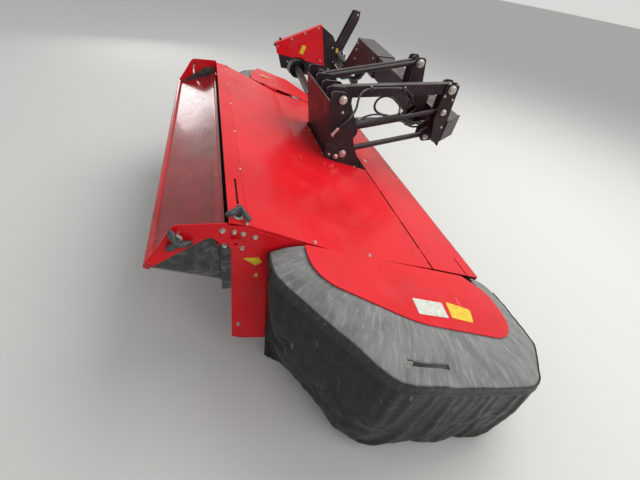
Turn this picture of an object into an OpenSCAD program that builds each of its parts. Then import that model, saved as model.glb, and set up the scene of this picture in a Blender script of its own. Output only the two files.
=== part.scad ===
// Disc mower conditioner, a side unit on its folding boom with the three-point headstock.
// X runs away from the headstock along the cutterbar, Y is the direction of travel, Z is up.
// The origin is on the ground under the middle of the cutterbar, below the disc axes.

/* [Deck] */
// Length of the sheet deck along the cutterbar
deck_len = 2338; // [2200:1:2500]
// Thickness of the deck sheet
sheet_t = 4; // [3:0.5:6]
// Rear edge of the deck, distance behind the disc axes
deck_rear_y = -900; // [-950:1:-870]
// Height of the rear edge
deck_rear_z = 982; // [970:1:1010]
// Riveted fold, distance behind the disc axes
rivet_y = -824; // [-850:1:-800]
// Height of the riveted fold
rivet_z = 965; // [955:1:975]
// Second fold, distance behind the disc axes
fold_y = -372; // [-420:1:-330]
// Height of the second fold
fold_z = 780; // [770:1:795]
// Hinge line of the front flap, distance ahead of the disc axes
flap_y = 166; // [150:1:180]
// Height of the flap hinge line
flap_z = 636; // [626:1:646]
// Front edge of the flap, distance ahead of the disc axes
front_y = 512; // [480:1:560]
// Height of the front edge
front_z = 532; // [510:1:550]
// Depth of the turned-down lips
lip_h = 28; // [20:1:40]

/* [Rear hood] */
// Rear edge of the hood, distance behind the disc axes
hood_rear_y = -1215; // [-1260:1:-1180]
// Height of the hood's rear edge
hood_rear_z = 790; // [770:1:810]
// Height of the hood's front edge
hood_front_z = 892; // [880:1:900]
// Outer diameter of the rolled edge tube
hood_tube_d = 34; // [24:1:44]
// Drop of the swath boards below the hood
board_h = 190; // [120:1:260]

/* [Cutterbar] */
// Number of discs
disc_n = 7; // [7:1:7]
// Distance between disc axes
disc_pitch = 420; // [415:1:430]
// Long radius of a disc
disc_long_r = 195; // [180:1:200]
// Short radius of a disc
disc_short_r = 150; // [135:1:155]
// Radius swept by the knife tips
knife_r = 255; // [245:1:258]
// Width of a knife
knife_w = 48; // [40:1:50]
// Depth of the bar from front to back
bar_w = 250; // [230:1:270]
// Height of the bar
bar_h = 58; // [50:1:60]
// Thickness of the skid plates
skid_t = 8; // [6:1:12]
// Height of the underside of the discs
disc_z = 106; // [104:1:112]

/* [Conditioner] */
// Rotor axis, distance behind the disc axes
rotor_y = -500; // [-510:1:-490]
// Height of the rotor axis
rotor_z = 450; // [440:1:455]
// Diameter of the rotor tube
rotor_tube_d = 170; // [140:1:190]
// Radius of the tine tips
tine_r = 288; // [270:1:292]
// Number of tine places along the rotor
tine_n = 17; // [15:2:21]
// Thickness of a tine
tine_t = 10; // [8:1:14]

/* [Side guards] */
// Distance of the guard hinge outside the wall
hinge_out = 21; // [19:1:27]
// Reach of the guard plate from the hinge
guard_reach = 412; // [380:1:430]
// Reach of the curtain from the hinge
curtain_reach = 612; // [600:1:625]
// Thickness of the rubber band
band_t = 8; // [6:1:12]
// Thickness of the curtain
curtain_t = 5; // [4:1:8]
// Height of the curtains' hem
hem_z = 30; // [20:1:60]

/* [Boom] */
// Pivot of the boom, distance from the machine's middle
pivot_x = -2730; // [-2760:1:-2700]
// Height of the boom pivot
pivot_z = 655; // [645:1:665]
// Rear face of the boom, distance ahead of the disc axes
boom_y = 800; // [795:1:810]
// Width of the boom
boom_w = 190; // [180:1:200]
// Height of the boom
boom_h = 215; // [200:1:225]
// Slope of the boom, down towards the mower
boom_drop = 3.8; // [3:0.1:4.5]
// Height of the boom's top above its pivot
boom_top = 529; // [520:1:535]
// Length from the pivot to the boom's end
boom_len = 2684; // [2670:1:2700]
// Diameter of the boom pivot pin
pivot_d = 50; // [40:1:60]

/* [Linkage] */
// Middle of the tower, distance from the machine's middle
tower_x = -240; // [-260:1:-230]
// Width of the tower's foot
tower_w = 660; // [640:1:670]
// Height of the tower's top
tower_z = 1190; // [1170:1:1200]
// Thickness of the tower's plates
plate_t = 12; // [10:1:15]
// Diameter of the link pins
link_pin_d = 30; // [25:1:32]

/* [Headstock] */
// Distance of the hitch's middle from the mower's middle
hitch_x = -3400; // [-3420:1:-3390]
// Height of the lower hitch pins
hitch_z = 600; // [595:1:610]
// Lower hitch pins, distance ahead of the disc axes
hitch_y = 1190; // [1180:1:1220]
// Diameter of the lower hitch pins
hitch_pin_d = 36.6; // [28:0.1:50.8]
// Shoulder distance of the lower hitch pins
hitch_span = 965; // [940:1:980]
// Height of the top link bore above the lower pins
mast_h = 685; // [660:1:700]
// Diameter of the top link bore
top_bore_d = 32; // [25:0.1:45]

/* [Hidden] */
$fn = 48;
fit = 0.3;
run_gap = 5;
red = [0.78, 0.06, 0.07];
black = [0.10, 0.10, 0.11];
grey = [0.36, 0.37, 0.38];
steel = [0.72, 0.73, 0.74];

half_len = deck_len / 2;
guard_x = half_len + hinge_out;
wall_t = 6;
deck_slope = atan((fold_z - flap_z) / (flap_y - fold_y));
guard_slope = 16.9;
guard_mid_z = 690;

// Plain geometry helpers
function unit(v) = v / norm(v);
function xy(row) = [row[0], row[1]];
function turn(a, b, c) = sign((b.x - a.x) * (c.y - b.y) - (b.y - a.y) * (c.x - b.x));

// A corner rounded by radius r, as an arc of n steps
function fillet(a, b, c, r, n = 6) =
    let (p = unit(a - b), q = unit(c - b), half = acos(p * q) / 2,
        centre = b + unit(p + q) * r / sin(half), start = b + p * r / tan(half) - centre,
        a0 = atan2(start.y, start.x), sweep = turn(a, b, c) * (180 - 2 * half))
    r == 0 ? [b] : [for (i = [0 : n]) centre + r * [cos(a0 + sweep * i / n), sin(a0 + sweep * i / n)]];

// Closed outline from a table of corners, each x, y, corner radius
function rounded(t) = let (m = len(t)) [for (i = [0 : m - 1])
    each fillet(xy(t[(i + m - 1) % m]), xy(t[i]), xy(t[(i + 1) % m]), t[i][2])];

// Open path from a table of corners, each x, y, corner radius, whose ends are sharp
function path(t) = let (m = len(t)) [for (i = [0 : m - 1])
    each (i == 0 || i == m - 1) ? [xy(t[i])] : fillet(xy(t[i - 1]), xy(t[i]), xy(t[i + 1]), t[i][2])];

// The points of a path moved sideways by d, to the left of its direction
function beside(p, d) = let (m = len(p)) [for (i = [0 : m - 1])
    let (v = unit(p[min(i + 1, m - 1)] - p[max(i - 1, 0)])) p[i] + d * [-v.y, v.x]];

// A flat sheet of thickness t whose top runs from a to b in the YZ plane
module sheet(a, b, t, x0, x1) {
    d = b - a;
    translate([x0, a.x, a.y]) rotate([atan2(d.y, d.x), 0, 0]) translate([0, 0, -t])
        cube([x1 - x0, norm(d), t]);
}

// A profile in the YZ plane carried along X
module along_x(points, x0, x1) {
    translate([x0, 0, 0]) rotate([90, 0, 90]) linear_extrude(x1 - x0) polygon(points);
}

// A profile in the XZ plane carried along Y
module along_y(points, y0, y1) {
    translate([0, y1, 0]) rotate([90, 0, 0]) linear_extrude(y1 - y0) polygon(points);
}

module rod_x(d, x0, x1, y, z) {
    translate([x0, y, z]) rotate([0, 90, 0]) cylinder(d = d, h = x1 - x0);
}

module rod_y(d, x, y0, y1, z) {
    translate([x, y0, z]) rotate([-90, 0, 0]) cylinder(d = d, h = y1 - y0);
}

// A bar from a to b with its own length along Z before it is turned
module between(a, b) {
    d = b - a;
    translate(a) rotate([0, acos(d.z / norm(d)), atan2(d.y, d.x)]) children();
}

// Places children in the boom's own frame: X along the boom from its pivot
module on_boom() translate([pivot_x, 0, pivot_z]) rotate([0, boom_drop, 0]) children();

// A strip between four rings of points, closed at both ends
module ribbon(a, b, c, d) {
    m = len(a);
    points = concat(a, b, c, d);
    function quad(i, j, k, l) = [[i, j, k], [i, k, l]];
    sides = [for (s = [0 : 3], i = [0 : m - 2])
        each quad(s * m + i, s * m + i + 1, ((s + 1) % 4) * m + i + 1, ((s + 1) % 4) * m + i)];
    ends = concat(quad(0, m, 2 * m, 3 * m), quad(4 * m - 1, 3 * m - 1, 2 * m - 1, m - 1));
    polyhedron(points, concat(sides, ends));
}

// Deck
slot_w = 9;
module deck_rear() {
    edge = [deck_rear_y, deck_rear_z];
    color(red) difference() {
        union() {
            sheet(edge, [rivet_y, rivet_z], sheet_t, -half_len, half_len);
            translate([-half_len, deck_rear_y, deck_rear_z - lip_h]) cube([deck_len, sheet_t, lip_h - 1]);
        }
        translate([half_len - 349, (deck_rear_y + rivet_y) / 2, rivet_z - 50]) cube([210, slot_w, 100]);
    }
}

notch_rear_y = -176;
notch_gap = 6;

module deck_middle() {
    color(red) difference() {
        union() {
            sheet([rivet_y + 1, rivet_z], [fold_y, fold_z], sheet_t, -half_len, half_len);
            sheet([fold_y, fold_z], [flap_y - 9, flap_z + 9 * tan(deck_slope)], sheet_t, -half_len,
                half_len);
        }
        translate([tower_x - tower_w / 2 - notch_gap, notch_rear_y, flap_z - 100])
            cube([tower_w + 2 * notch_gap, 600, 300]);
    }
    color(steel) for (x = hinge_places) {
        rod_x(flap_pin_d, x - hinge_w, x + hinge_w, flap_y, flap_z - flap_pin_drop);
        for (s = [-1, 1]) flap_lug(x + s * (hinge_w - 10) - 10, -1);
    }
}

// One leaf of the flap's hinge, with its eye on the pin; side is -1 towards the rear
module flap_lug(x, side, bore = 0) {
    web_y = flap_eye_d / 2 - 1;
    difference() {
        union() {
            rod_x(flap_eye_d, x, x + 20, flap_y, flap_z - flap_pin_drop);
            translate([x, flap_y, flap_z - flap_pin_drop])
                rotate([side > 0 ? -flap_slope : -deck_slope, 0, 0])
                translate([0, side > 0 ? web_y : -40, -1])
                    cube([20, 40 - web_y, flap_pin_drop - sheet_t + 1.5]);
        }
        if (bore > 0) rod_x(bore, x - 1, x + 21, flap_y, flap_z - flap_pin_drop);
    }
}

// Front flap, hinged at its rear edge
flap_slope = atan((flap_z - front_z) / (front_y - flap_y));
flap_pin_d = 8;
flap_eye_d = 14;
flap_pin_drop = 12;
hinge_w = 50;
hinge_places = [-1050, -760, 330, 690, 1050];
module front_flap() {
    reach = (front_y - flap_y - 4) / cos(flap_slope);
    color(red) difference() {
        translate([0, front_y, front_z]) rotate([-flap_slope, 0, 0])
            along_x([[-reach, 0], [-reach, -sheet_t], [-sheet_t, -sheet_t], [-sheet_t, -lip_h], [0,
                -lip_h], [0, 0]],
                -half_len, half_len);
        translate([half_len - 150, (flap_y + 2 * front_y) / 3 + 25, front_z - 30]) cube([152, slot_w, 120]);
    }
    color(steel) for (x = hinge_places, s = [-1, 1]) flap_lug(x + s * 12 - 10, 1, flap_pin_d + 2 * fit);
}

module front_apron() {
    ahead = [cos(flap_slope), -sin(flap_slope)];
    down = [-sin(flap_slope), -cos(flap_slope)];
    top = [front_y, front_z] + fit * ahead;
    knee = top + (lip_h + 2) * down;
    color(grey) along_x([top, knee, [knee.x, hem_z], [knee.x + curtain_t, hem_z], knee + curtain_t * ahead,
        top + curtain_t * ahead], -half_len + 10, half_len - 10);
}

// Rear hood: panel, rolled edge and end plates
hood_plate_x = half_len + 6;
hood_pivot_y = -875;
hood_pivot_z = 885;
hood_pin_d = 14;
knob_r = 222;

// Outline of a slot of width w on an arc of radius r about the hood's pivot, from angle a0 to a1
function arc_slot(r, w, a0, a1) = let (n = 8)
    [for (s = [1, -1], i = [0 : n]) let (a = s > 0 ? a0 + (a1 - a0) * i / n : a1 - (a1 - a0) * i / n)
        [hood_pivot_y, hood_pivot_z] + (r + s * w / 2) * [cos(a), sin(a)]];

module hood() {
    panel_front = [deck_rear_y - run_gap - 2, hood_front_z];
    panel_rear = [hood_rear_y, hood_rear_z];
    ends = rounded([[hood_rear_y, hood_rear_z, 8], [deck_rear_y - 5, 860, 10],
        [hood_pivot_y + 22, hood_pivot_z - 22, 20], [hood_pivot_y + 22, hood_pivot_z + 22, 20],
        [deck_rear_y - 30, 895, 8], [deck_rear_y - 82, 913, 6], [deck_rear_y - 27, deck_rear_z + 3, 8],
        [hood_rear_y + 117, deck_rear_z - 14, 14]]);
    color(red) difference() {
        union() {
            sheet(panel_rear, panel_front, sheet_t - 1, -hood_plate_x - sheet_t / 2,
                hood_plate_x + sheet_t / 2);
            rod_x(hood_tube_d, -hood_plate_x - sheet_t, hood_plate_x + sheet_t, hood_rear_y, hood_rear_z);
            for (x = [-hood_plate_x - sheet_t, hood_plate_x]) along_x(ends, x, x + sheet_t);
        }
        rod_x(hood_pin_d + 2 * fit, -hood_plate_x - 20, hood_plate_x + 20, hood_pivot_y, hood_pivot_z);
        along_x(arc_slot(knob_r, 11, 160, 184), -hood_plate_x - 20, hood_plate_x + 20);
    }
}

board_x = half_len - wall_t - 10;
board_pin_d = 14;
module swath_board(side) {
    top = hood_rear_z + 30;
    color(black) {
        along_x([[deck_rear_y - 20, top + 30], [deck_rear_y - 20, top - board_h], [hood_rear_y + 30,
            top - board_h + 60],
            [hood_rear_y + 30, top - 40]], side * board_x - 2, side * board_x + 2);
        translate([side * board_x, deck_rear_y - 20, top - board_h - 20]) cylinder(d = board_pin_d,
            h = board_h + 70);
    }
}
module swath_board_near() swath_board(1);
module swath_board_far() swath_board(-1);

// Side walls of the conditioner with the rotor's bearings
wall_foot_y = -285;
rotor_shaft_d = 50;
module side_wall(side) {
    x0 = side > 0 ? half_len - wall_t : -half_len;
    under = sheet_t / cos(23) + fit;
    board_top = hood_rear_z + 60;
    profile = rounded([[deck_rear_y + 6, deck_rear_z - lip_h - 6, 0], [deck_rear_y + 6, 230, 10], [-850,
        205, 10],
        [-340, 120, 20], [-320, 36, 8], [wall_foot_y, 36, 8], [-270, 190, 30], [140, 330, 30],
        [flap_y - 20, flap_z - under, 0], [fold_y, fold_z - under, 0], [rivet_y, rivet_z - under, 0],
        [deck_rear_y + 20, deck_rear_z - lip_h + 10, 0]]);
    outer = side > 0 ? half_len : -half_len;
    color(red) difference() {
        union() {
            along_x(profile, x0, x0 + wall_t);
            rod_x(130, side > 0 ? outer - 1 : outer - 14, side > 0 ? outer + 14 : outer + 1, rotor_y,
                rotor_z);
            for (z = [board_top - 30 - board_h - 18, board_top + 3]) {
                translate([side * board_x, deck_rear_y - 20, z]) cylinder(d = 26, h = 14);
                translate([side > 0 ? board_x : -half_len, deck_rear_y - 20, z])
                    cube([half_len - board_x, 30, 14]);
            }
        }
        rod_x(rotor_shaft_d + 2 * fit, x0 - 20, x0 + wall_t + 20, rotor_y, rotor_z);
        translate([side * board_x, deck_rear_y - 20, 400]) cylinder(d = board_pin_d + 2 * fit, h = 500);
    }
    color(steel) {
        rod_x(hood_pin_d, side > 0 ? outer : outer - 12, side > 0 ? outer + 12 : outer, hood_pivot_y,
            hood_pivot_z);
        rod_x(34, side > 0 ? outer - 2 : outer - 6 + fit, side > 0 ? outer + 6 - fit : outer + 2,
            hood_pivot_y, hood_pivot_z);
        guard_hinge(side);
    }
}

// Pin of the guard's hinge, held by lugs on the wall, along the slope of the guard
guard_pin_d = 14;
guard_pin_drop = 15.5;
guard_eye_d = 20;
guard_foot_z = 46;
module on_guard(side) translate([side * guard_x, 0, guard_mid_z]) rotate([-guard_slope, 0, 0]) children();
function guard_hinges(side) = [-420, side > 0 ? 60 : -60];
module guard_hinge(side) on_guard(side) for (y = guard_hinges(side)) {
    translate([0, y - 60, -guard_pin_drop]) rotate([-90, 0, 0]) cylinder(d = guard_pin_d, h = 120);
    for (v = [y - 60, y + 40]) {
        translate([0, v, -guard_pin_drop]) rotate([-90, 0, 0]) cylinder(d = guard_eye_d, h = 20);
        translate([side > 0 ? -guard_eye_d / 2 : 0, v, -guard_foot_z])
            cube([guard_eye_d / 2, 20, guard_foot_z - guard_pin_drop]);
        translate([side > 0 ? half_len - wall_t / 2 - guard_x : 0, v, -guard_foot_z])
            cube([guard_x - half_len + wall_t / 2, 20, 14]);
    }
}
module guard_eyes(side) on_guard(side) for (y = guard_hinges(side)) difference() {
    union() {
        translate([0, y - 35, -guard_pin_drop]) rotate([-90, 0, 0]) cylinder(d = guard_eye_d, h = 70);
        translate([side > 0 ? 0 : -24, y - 35, -guard_pin_drop - 2])
            cube([24, 70, guard_pin_drop - sheet_t + 2.5]);
    }
    translate([0, y - 50, -guard_pin_drop]) rotate([-90, 0, 0]) cylinder(d = guard_pin_d + 2 * fit,
        h = 100);
}
module wall_near() side_wall(1);
module wall_far() side_wall(-1);

module main_beam() {
    color(black) translate([-half_len + wall_t, -80, 470]) cube([deck_len - 2 * wall_t, 120, 120]);
}

plate_r = tine_r + 14;
module conditioning_plate() {
    color(black) translate([-half_len + wall_t, rotor_y, rotor_z]) rotate([90, 0, 90])
        rotate([0, 0, 35]) rotate_extrude(angle = 105, $fn = 96) translate([plate_r, 0])
            square([4, deck_len - 2 * wall_t]);
}

// Tined rotor
module tine() {
    root = rotor_tube_d / 2 - 4;
    color(steel) rotate([90, 0, 0]) linear_extrude(tine_t, center = true)
        polygon([[-16, root], [16, root], [44, tine_r], [30, tine_r], [0, root + 60], [-30, tine_r],
            [-44, tine_r]]);
}

module conditioner_rotor() {
    reach = half_len - wall_t - 12;
    step = (2 * reach - 120) / (tine_n - 1);
    color(black) {
        rod_x(rotor_tube_d, -reach, reach, rotor_y, rotor_z);
        rod_x(rotor_shaft_d, -half_len - 20, half_len + 20, rotor_y, rotor_z);
    }
    for (i = [0 : tine_n - 1], k = [0, 1])
        translate([-reach + 60 + i * step, rotor_y, rotor_z]) rotate([i * 50 + k * 180, 0, 0]) tine();
}

// Cutterbar with its skids and discs
bar_z = skid_t + 4;
bar_edge = 22;
hub_d = 120;
spindle_d = 60;
function disc_at(i) = (i - (disc_n + 1) / 2) * disc_pitch;

module cutterbar() {
    half = disc_at(disc_n) + 150;
    profile = [[-bar_w / 2, bar_z + bar_edge], [-bar_w / 2 + bar_edge, bar_z], [bar_w / 2 - bar_edge,
        bar_z],
        [bar_w / 2, bar_z + bar_edge], [bar_w / 2, bar_z + bar_h - 14], [bar_w / 2 - 14, bar_z + bar_h],
        [-bar_w / 2 + 14, bar_z + bar_h], [-bar_w / 2, bar_z + bar_h - 14]];
    color(black) difference() {
        union() {
            along_x(profile, -half, half);
            for (i = [1 : disc_n]) translate([disc_at(i), 0, bar_z + 10]) cylinder(d = hub_d,
                h = disc_z - bar_z - 10 - 2);
            for (s = [-1, 1]) translate([s * (half_len - wall_t - 35) - 35, wall_foot_y - 25, bar_z + 20])
                cube([70, bar_w, 35]);
        }
        for (i = [1 : disc_n]) translate([disc_at(i), 0, bar_z + 30]) cylinder(d = spindle_d + 1, h = 200);
    }
}

module skids() {
    front = bar_w / 2 + fit;
    color(steel) for (i = [1 : disc_n]) along_x([[-300, 0], [front - bar_edge, 0], [front + skid_t,
        bar_z + bar_edge - 3],
        [front + skid_t, bar_z + bar_h - 14], [front, bar_z + bar_h - 14], [front, bar_z + bar_edge],
        [front - bar_edge, bar_z], [-180, bar_z], [-300, skid_t - 2]], disc_at(i) - 110, disc_at(i) + 110);
}

module disc(i) {
    long = disc_long_r;
    short = disc_short_r;
    phase = i % 2 == 0 ? 90 : 0;
    translate([disc_at(i), 0, 0]) rotate([0, 0, phase]) {
        color(black) {
            translate([0, 0, disc_z]) linear_extrude(6)
                polygon(rounded([[-long, -short, 130], [long, -short, 130], [long, short, 130], [-long,
                    short, 130]]));
            translate([0, 0, disc_z + 6]) cylinder(h = 34, r1 = 130, r2 = 62);
            translate([0, 0, disc_z + 40]) cylinder(h = 12, r = 40);
            translate([0, 0, bar_z + 32]) cylinder(h = disc_z - bar_z - 32, d = spindle_d);
        }
        color(steel) for (a = [0, 180]) rotate([0, 0, a]) {
            translate([disc_long_r - 50, -knife_w / 2, disc_z - 6])
                cube([knife_r - disc_long_r + 45, knife_w, 5]);
            translate([disc_long_r - 28, 0, disc_z - 9]) cylinder(d = 22, h = 9);
        }
    }
}
module disc_1() {
    disc(1);
    color(black) translate([disc_at(1), 0, disc_z + 50]) cylinder(d = 76,
        h = gearbox_z - disc_z - 50 - run_gap);
}
module disc_2() disc(2);
module disc_3() disc(3);
module disc_4() disc(4);
module disc_5() disc(5);
module disc_6() disc(6);
module disc_7() disc(7);

// Drive: gearbox on the far wall and the telescopic shaft from the headstock
gearbox_z = 410;
gearbox_x = -half_len - fit;
shaft_end = [disc_at(1) - 190, 200, 490];
shaft_start = [hitch_x + 470, 240, 560];

module mower_gearbox() {
    color(black) {
        translate([disc_at(1) - 95, -95, gearbox_z]) cube([gearbox_x - disc_at(1) + 95, 190, 170]);
        translate([shaft_end.x + 85, 90, gearbox_z + 5]) cube([110, 180, 130]);
        rod_x(44, shaft_end.x + 40, shaft_end.x + 86, shaft_end.y, shaft_end.z);
    }
}

guard_tube_d = 94;
joint_d = 46;
joint_pin_d = 16;
module shaft_rod() {
    reach = norm(shaft_end - shaft_start);
    color(black) between(shaft_end, shaft_start) {
        cylinder(d = 75, h = reach * 0.45);
        translate([0, 0, -30]) cylinder(d = 96, h = 90);
    }
}
module shaft_tube() {
    reach = norm(shaft_end - shaft_start);
    color(black) difference() {
        union() {
            between(shaft_start, shaft_end) {
                translate([0, 0, 34]) cylinder(d = guard_tube_d, h = reach * 0.62);
                cylinder(d = 38, h = 40);
            }
            rod_y(joint_d, shaft_start.x, shaft_start.y - 20, shaft_start.y + 20, shaft_start.z);
        }
        between(shaft_start, shaft_end) translate([0, 0, 70]) cylinder(d = 76, h = reach);
        rod_y(joint_pin_d + 2 * fit, shaft_start.x, shaft_start.y - 60, shaft_start.y + 60, shaft_start.z);
    }
}

// Guard height on the hinge plane at distance y ahead of the disc axes
function guard_z(y) = guard_mid_z - tan(guard_slope) * y;

// Guard outlines, each corner x from the hinge, y, radius
plate_near = [[-2, -585, 12], [190, -585, 170], [guard_reach - 40, -160, 600], [guard_reach + 14, 460, 180],
    [110, 480, 110], [-2, 360, 30]];
inner_near = [[-6, -555, 0], [185, -555, 150], [guard_reach - 60, -190, 260], [guard_reach - 10, 410, 160],
    [190, 440, 60], [-6, 440, 0]];
outer_near = [[-6, -735, 0], [130, -735, 150], [curtain_reach, -330, 260], [curtain_reach, 470, 240],
    [370, 690, 110], [-6, 690, 0]];
hem_near = [[-6, -715, 0], [95, -560, 110], [530, -360, 180], [curtain_reach, 350, 200], [400, 640,
    100], [-6, 640, 0]];
plate_far = [[-2, -585, 12], [170, -585, 60], [520, -480, 60], [550, -150, 60], [330, 20, 160], [60,
    130, 60], [-2, 130, 5]];
inner_far = [[-6, -560, 0], [150, -560, 50], [500, -440, 40], [505, -170, 30], [300, 0, 60], [-6, 90, 0]];
outer_far = [[-6, -735, 0], [180, -735, 80], [curtain_reach - 12, -590, 90], [curtain_reach, -110, 90],
    [350, 90, 100], [-6, 160, 0]];
drape_far = [[-6, -735, 0], [180, -735, 80], [curtain_reach - 12, -590, 90], [curtain_reach, -110, 0],
    [curtain_reach, 470, 200], [370, 690, 110], [-6, 690, 0]];
hem_far = [[-6, -715, 0], [180, -715, 80], [curtain_reach - 12, -570, 90], [curtain_reach - 10, -110, 0],
    [curtain_reach - 10, 450, 200], [370, 670, 110], [-6, 670, 0]];
// How far the far curtain's top edge steps down where the drive shaft passes over it
function step_down(y) = 110 * min(max((y + 150) / 150, 0), 1);

band_drop = 80;
function at_x(p, side) = [side * (guard_x + p.x), p.y];
function band_ring(p, side, drop) = [for (q = p) let (w = at_x(q, side)) [w.x, w.y, guard_z(q.y) - drop]];

module guard_plate(table, side) {
    slope = cos(guard_slope);
    m = len(table);
    stretched = [for (i = [0 : m - 1]) let (row = table[side > 0 ? i : m - 1 - i])
        [side * row[0], row[1] / slope, row[2]]];
    color(red) on_guard(side) translate([0, 0, -sheet_t]) linear_extrude(sheet_t)
        polygon(rounded(stretched));
    color(red) guard_eyes(side);
}

module band(inner, outer, side) {
    a = path(inner);
    b = path(outer);
    top = sheet_t + 1;
    faces_out = side > 0;
    r1 = band_ring(a, side, top);
    r2 = band_ring(b, side, top + band_drop);
    r3 = band_ring(b, side, top + band_drop + band_t);
    r4 = band_ring(a, side, top + band_t);
    color(grey) if (faces_out) ribbon(r1, r2, r3, r4); else ribbon(r4, r3, r2, r1);
}

module curtain(outer, hem, side, stepped = 0) {
    a = beside(path(outer), 1);
    b = beside(path(hem), 1);
    ai = beside(a, curtain_t);
    bi = beside(b, curtain_t);
    drop = sheet_t + 1 + band_drop + band_t;
    function top_ring(p) = [for (q = p) [at_x(q, side).x, q.y, guard_z(q.y)
        - drop - stepped * step_down(q.y)]];
    r1 = top_ring(a);
    r2 = [for (q = b) [at_x(q, side).x, q.y, hem_z]];
    r3 = [for (q = bi) [at_x(q, side).x, q.y, hem_z]];
    r4 = top_ring(ai);
    color(black) if (side > 0) ribbon(r1, r2, r3, r4); else ribbon(r4, r3, r2, r1);
}

module guard_near() guard_plate(plate_near, 1);
module band_near() band(inner_near, outer_near, 1);
module curtain_near() curtain(outer_near, hem_near, 1);
module guard_far() guard_plate(plate_far, -1);
module band_far() band(inner_far, outer_far, -1);
module curtain_far() curtain(drape_far, hem_far, -1, 1);

// Tower on the deck: parallel plates, the rear plate with its foot, and the pins
tower_foot_z = 590;
tower_rear_y = -122;
tower_lean = 0.158;
tower_pin = [-130, 1145];
tower_low_pin = [-60, 770];
arm_x = tower_x + tower_w / 2 - 165;
top_x = tower_x - 210;
inner_plates = [tower_x - 90, arm_x - 87];
ear_plate = arm_x + 45;
outer_plates = [tower_x - tower_w / 2, tower_x + tower_w / 2 - plate_t];
function tower_rear(z, back = 0) = [tower_rear_y - tower_lean * (z - tower_foot_z) - back, z];

module tower() {
    base = tower_foot_z + plate_t;
    rear = [[each tower_rear(base), 0], [each tower_rear(tower_z), 25]];
    outer = rounded([each rear, [-100, tower_z, 45], [-53, 1048, 200], [17, 844, 120], [105, 655, 30],
        [140, base, 0]]);
    inner = rounded([each rear, [-70, tower_z, 40], [80, 880, 50], [130, 700, 50], [140, base, 0]]);
    ear = rounded([each rear, [-70, tower_z, 40], [80, 880, 50], [20, 800, 30], [20, base, 0]]);
    color(black) difference() {
        union() {
            for (x = outer_plates) along_x(outer, x, x + plate_t);
            for (x = inner_plates) along_x(inner, x, x + plate_t);
            along_x(ear, ear_plate, ear_plate + plate_t);
        }
        for (pin = [tower_pin, tower_low_pin])
            rod_x(link_pin_d + 2 * fit, tower_x - tower_w, tower_x + tower_w, pin.x, pin.y);
        rod_x(link_pin_d + 2 * fit, inner_plates[1] - 5, ear_plate + 20, float_foot.x, float_foot.y);
    }
}

module tower_back() {
    top = tower_z - 60;
    gap = fit + 0.1;
    color(black) along_x([tower_rear(tower_foot_z, gap + plate_t), [140, tower_foot_z], [140,
        tower_foot_z + plate_t],
        tower_rear(tower_foot_z + plate_t, gap), tower_rear(top, gap), tower_rear(top, gap + plate_t)],
        tower_x - tower_w / 2, tower_x + tower_w / 2);
}

module tower_pins() {
    color(steel) {
        for (pin = [tower_pin, tower_low_pin])
            rod_x(link_pin_d, tower_x - tower_w / 2 - 10, tower_x + tower_w / 2 + 12, pin.x, pin.y);
        rod_x(link_pin_d, inner_plates[1] - 10, ear_plate + plate_t + 10, float_foot.x, float_foot.y);
    }
}

// Links between the tower and the boom, each end x, y, z
arm_end = [arm_x, 740, 1240];
low_end = [740, 828];
module lift_arm() {
    a = [arm_x, tower_pin.x, tower_pin.y];
    d = arm_end - a;
    color(black) translate(a) rotate([atan2(d.z, d.y), 0, 0]) difference() {
        union() {
            translate([-28, 10, -38]) cube([56, norm(d) - 20, 76]);
            rod_x(80, -28, 28, 0, 0);
            rod_x(80, -28, 28, norm(d), 0);
        }
        rod_x(link_pin_d + 1, -40, 40, 0, 0);
        rod_x(link_pin_d + 1, -40, 40, norm(d), 0);
    }
}

top_end = [625, 1320];
module top_link() {
    for (x = [top_x - 35, top_x + 35]) {
        a = [x, tower_pin.x, tower_pin.y];
        b = [x, top_end.x, top_end.y];
        u = unit(b - a);
        color(black) difference() {
            union() {
                between(a + 20 * u, b - 20 * u) cylinder(d = 34, h = norm(b - a) - 40);
                rod_x(62, x - 16, x + 16, a.y, a.z);
                rod_x(62, x - 16, x + 16, b.y, b.z);
            }
            rod_x(link_pin_d + 1, x - 20, x + 20, a.y, a.z);
            rod_x(link_pin_d + 1, x - 20, x + 20, b.y, b.z);
        }
    }
}

// Lower links: x at the tower, x at the boom
low_x = [[tower_x - tower_w / 2 + 50, tower_x - tower_w / 2 + 50], [tower_x + tower_w / 2 - 45,
    arm_x - 130]];
module lower_links() {
    for (row = low_x) {
        a = [row[0], tower_low_pin.x, tower_low_pin.y];
        b = [row[1], low_end.x, low_end.y];
        u = unit(b - a);
        color(black) difference() {
            union() {
                between(a + 20 * u, b - 20 * u) cylinder(d = 42, h = norm(b - a) - 40);
                for (e = [a, b]) rod_x(70, e.x - 20, e.x + 20, e.y, e.z);
            }
            for (e = [a, b]) rod_x(link_pin_d + 1, e.x - 30, e.x + 30, e.y, e.z);
        }
    }
}

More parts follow.
